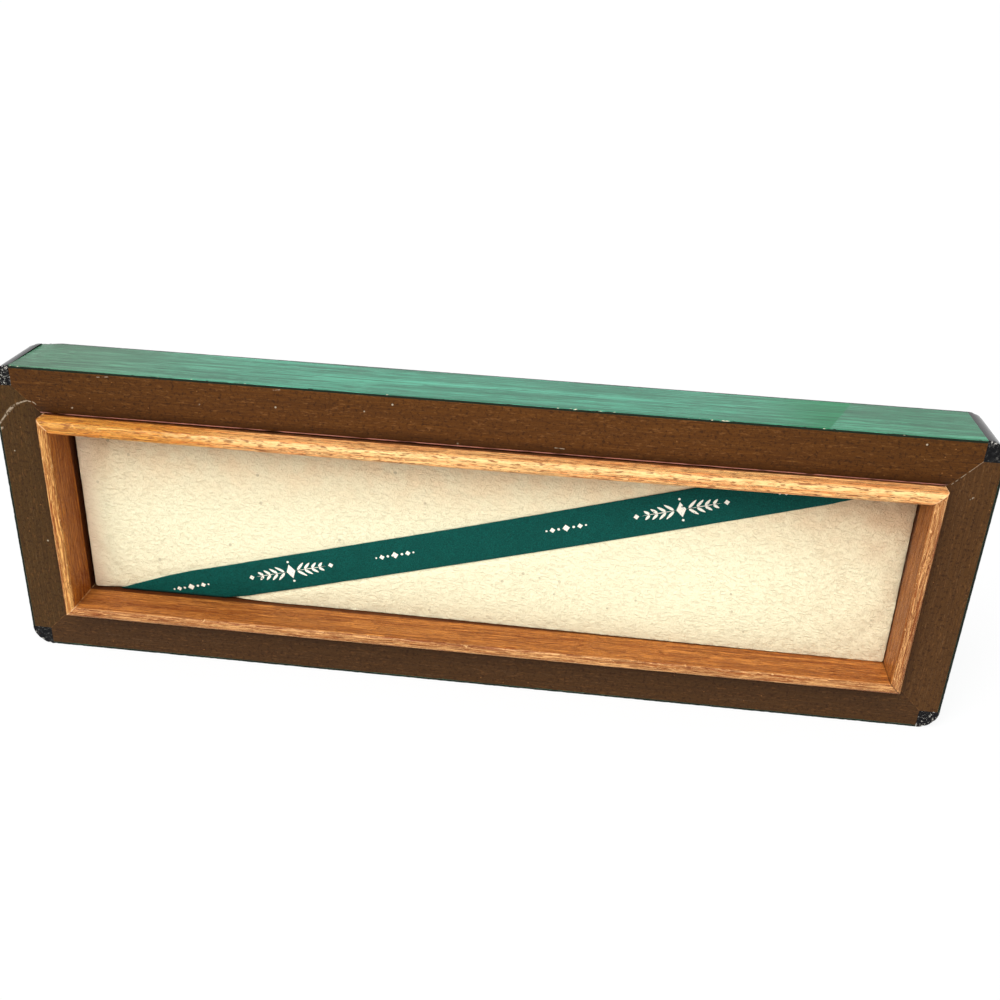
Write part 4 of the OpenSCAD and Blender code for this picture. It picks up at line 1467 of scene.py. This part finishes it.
def stamped_row():
    """Geometry tree: large and small figures set along a line, then laid on the strap."""
    inputs = {
        GEOMETRY: {"Geometry": None},
        OBJECT: {"Large": None, "Small": None, "Strap": None},
        VECTOR: {"Start": (0.0, 0.0, 0.0), "Along": (1.0, 0.0, 0.0)},
        FLOAT: {"Slant": 0.0, "Pitch": 0.1, "Side": 0.03, "Lift": 0.00003},
        MATERIAL: {"Finish": None},
    }
    web, given = new_tree("Stamped row", "GeometryNodeTree", inputs, {"Geometry": GEOMETRY})

    def pair(figure, shift):
        """Two figures, a pitch apart."""
        start = given["Start"] + given["Along"] * shift
        plugs = {"Count": 2, "Start Location": start, "Offset": given["Along"] * given["Pitch"]}
        plugs = {"Points": web.take("GeometryNodeMeshLine", plugs)}
        plugs["Instance"] = web.take("GeometryNodeObjectInfo", {"Object": given[figure]}, "Geometry")
        plugs["Rotation"] = web.xyz(0.0, given["Slant"], 0.0)
        return web.take("GeometryNodeInstanceOnPoints", plugs)

    joined = web.tree.nodes.new("GeometryNodeJoinGeometry")
    for figures in (pair("Large", 0.0), pair("Small", given["Side"]), pair("Small", 0.0 - given["Side"])):
        web.feed(joined, 0, figures)
    real = web.take("GeometryNodeRealizeInstances", {"Geometry": Wire(web, joined.outputs[0])})
    spot = web.take("GeometryNodeInputPosition")
    strap = web.take("GeometryNodeObjectInfo", {"Object": given["Strap"]}, "Geometry")
    eye = web.xyz(spot.part("X"), -0.1, spot.part("Z"))
    plugs = {"Target Geometry": strap, "Source Position": eye}
    hit = web.add("GeometryNodeRaycast", {**plugs, "Ray Direction": (0.0, 1.0, 0.0), "Ray Length": 1.0})
    rest = hit["Hit Position"].part("Y") - spot.part("Y") * given["Lift"]
    laid = web.xyz(spot.part("X"), rest, spot.part("Z"))
    plugs = {"Geometry": real, "Selection": hit["Is Hit"], "Position": laid}
    return finished(web, web.take("GeometryNodeSetPosition", plugs), given["Finish"])


def dot(x, z, radius):
    turns = np.linspace(0, 2 * math.pi, 13)[:-1]
    return [(x + radius * math.cos(a), z + radius * math.sin(a)) for a in turns]


def lozenge(x, wide, tall):
    return [(x + wide, 0.0), (x, tall), (x - wide, 0.0), (x, -tall)]


def leaf(x, z, long, wide, degrees):
    """A pointed leaf that grows from (x, z)."""
    a = math.radians(degrees)
    points = []
    for k in range(14):
        t = k / 14 * 2 * math.pi
        u = long / 2 * (1 - math.cos(t))
        v = wide / 2 * math.sin(t) * (0.75 + 0.25 * math.cos(t))
        points.append((x + u * math.cos(a) - v * math.sin(a), z + u * math.sin(a) + v * math.cos(a)))
    return points


class DISPLAYBOX_OT_stamping(bpy.types.Operator):
    """Set the foil-stamped leaf and lozenge figures along the strap"""

    bl_idname = "displaybox.stamping"
    bl_label = "Stamping"

    def figure(self, name, outlines):
        """A thin plate for each outline in mm; along Y it reaches from -2 to 1 times the foil's thickness."""
        shape = bmesh.new()
        for outline in outlines:
            top = [shape.verts.new((x * MM, 1.0, z * MM)) for x, z in outline]
            under = [shape.verts.new((x * MM, -2.0, z * MM)) for x, z in outline]
            shape.faces.new(top)
            shape.faces.new(under[::-1])
            bridge(shape, top, under, flipped=True)
        return link(name, into_mesh(shape, name))

    def execute(self, context):
        sizes, colours = context.scene.tray_sizes, context.scene.tray_colours
        large = [lozenge(0.0, 1.5, 2.6), dot(0.0, 3.6, 0.4), dot(0.0, -3.6, 0.4)]
        small = [lozenge(0.0, 1.2, 1.2)]
        for s in (-1, 1):
            large += [lozenge(s * 7.0, 5.3, 0.14), lozenge(s * 13.9, 0.9, 0.9)]
            for k, reach in enumerate((3.5, 3.0, 2.5, 2.0)):
                for t in (-1, 1):
                    slope = 40 * t if s > 0 else 180 - 40 * t
                    large.append(leaf(s * (2.3 + 2.5 * k), 0.22 * t, reach, 1.15, slope))
            small += [dot(s * 2.4, 0.0, 0.42), lozenge(s * 4.4, 0.9, 0.9), dot(s * 6.3, 0.0, 0.32)]
        figures = {"Large": self.figure("large_figure", large), "Small": self.figure("small_figure", small)}
        along = Vector((math.cos(STRAP_SLANT), 0.0, math.sin(STRAP_SLANT)))
        values = {
            **figures,
            "Strap": bpy.data.objects["leather_strap"],
            "Start": Vector((0.0, 0.0, MIDDLE + STRAP_RISE)) - along * sizes.stamp_pitch / 2,
            "Along": along,
            "Slant": -STRAP_SLANT,
            "Pitch": sizes.stamp_pitch,
            "Side": sizes.stamp_side,
            "Lift": sizes.stamp_lift,
            "Finish": stamped_foil(colours),
        }
        mesh = grown(bpy.data.meshes.new("seed"), stamped_row, values)
        for obj in figures.values():
            bpy.data.objects.remove(obj)
        outward(mesh)
        mesh.name = "foil_stamping"
        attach(link("foil_stamping", mesh), BODY)
        return {"FINISHED"}


class DISPLAYBOX_OT_inside(bpy.types.Operator):
    """Finish the frame's own pieces inside the box"""

    bl_idname = "displaybox.inside"
    bl_label = "Inside pieces"

    def execute(self, context):
        pale = plain_wood("pale_wood", (0.56, 0.40, 0.23), (0.42, 0.27, 0.14), 51.0)
        finishes = {
            "base_board": pale,
            "base_pins": bright_steel(),
            "pad_board": pressed_board("hardboard", (0.22, 0.13, 0.07), (0.13, 0.07, 0.035), 0.7),
            "pad_foam": pressed_board("foam", (0.78, 0.74, 0.62), (0.62, 0.57, 0.44), 0.9),
            "packing_card": pressed_board("card", (0.38, 0.36, 0.33), (0.28, 0.26, 0.23), 0.4),
            **{"tongue_" + corner: pale for corner in CORNERS},
        }
        for node, material in finishes.items():
            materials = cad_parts[node].data.materials
            materials.clear()
            materials.append(material)
        return {"FINISHED"}


OPERATORS = (
    DISPLAYBOX_OT_stage,
    DISPLAYBOX_OT_rails,
    DISPLAYBOX_OT_veneers,
    DISPLAYBOX_OT_edging,
    DISPLAYBOX_OT_liner,
    DISPLAYBOX_OT_panel,
    DISPLAYBOX_OT_strap,
    DISPLAYBOX_OT_stamping,
    DISPLAYBOX_OT_inside,
)


class DISPLAYBOX_PT_pieces(bpy.types.Panel):
    """The pieces of the box and their settings"""

    bl_idname = "DISPLAYBOX_PT_pieces"
    bl_label = "Display box"
    bl_space_type = "VIEW_3D"
    bl_region_type = "UI"
    bl_category = "Display Box"

    def draw(self, context):
        for operator in OPERATORS:
            self.layout.operator(operator.bl_idname)
        for settings in (context.scene.tray_sizes, context.scene.tray_colours, context.scene.tray_light):
            column = self.layout.box().column()
            for key in settings.__annotations__:
                column.prop(settings, key)


CLASSES = (TraySizes, TrayColours, TrayLight, *OPERATORS, DISPLAYBOX_PT_pieces)


def register():
    for cls in CLASSES:
        bpy.utils.register_class(cls)
    bpy.types.Scene.tray_sizes = PointerProperty(type=TraySizes)
    bpy.types.Scene.tray_colours = PointerProperty(type=TrayColours)
    bpy.types.Scene.tray_light = PointerProperty(type=TrayLight)


def unregister():
    for name in ("tray_light", "tray_colours", "tray_sizes"):
        delattr(bpy.types.Scene, name)
    for cls in reversed(CLASSES):
        bpy.utils.unregister_class(cls)


def main():
    register()
    for operator in OPERATORS:
        group, name = operator.bl_idname.split(".")
        getattr(getattr(bpy.ops, group), name)()


if __name__ == "__main__":
    main()
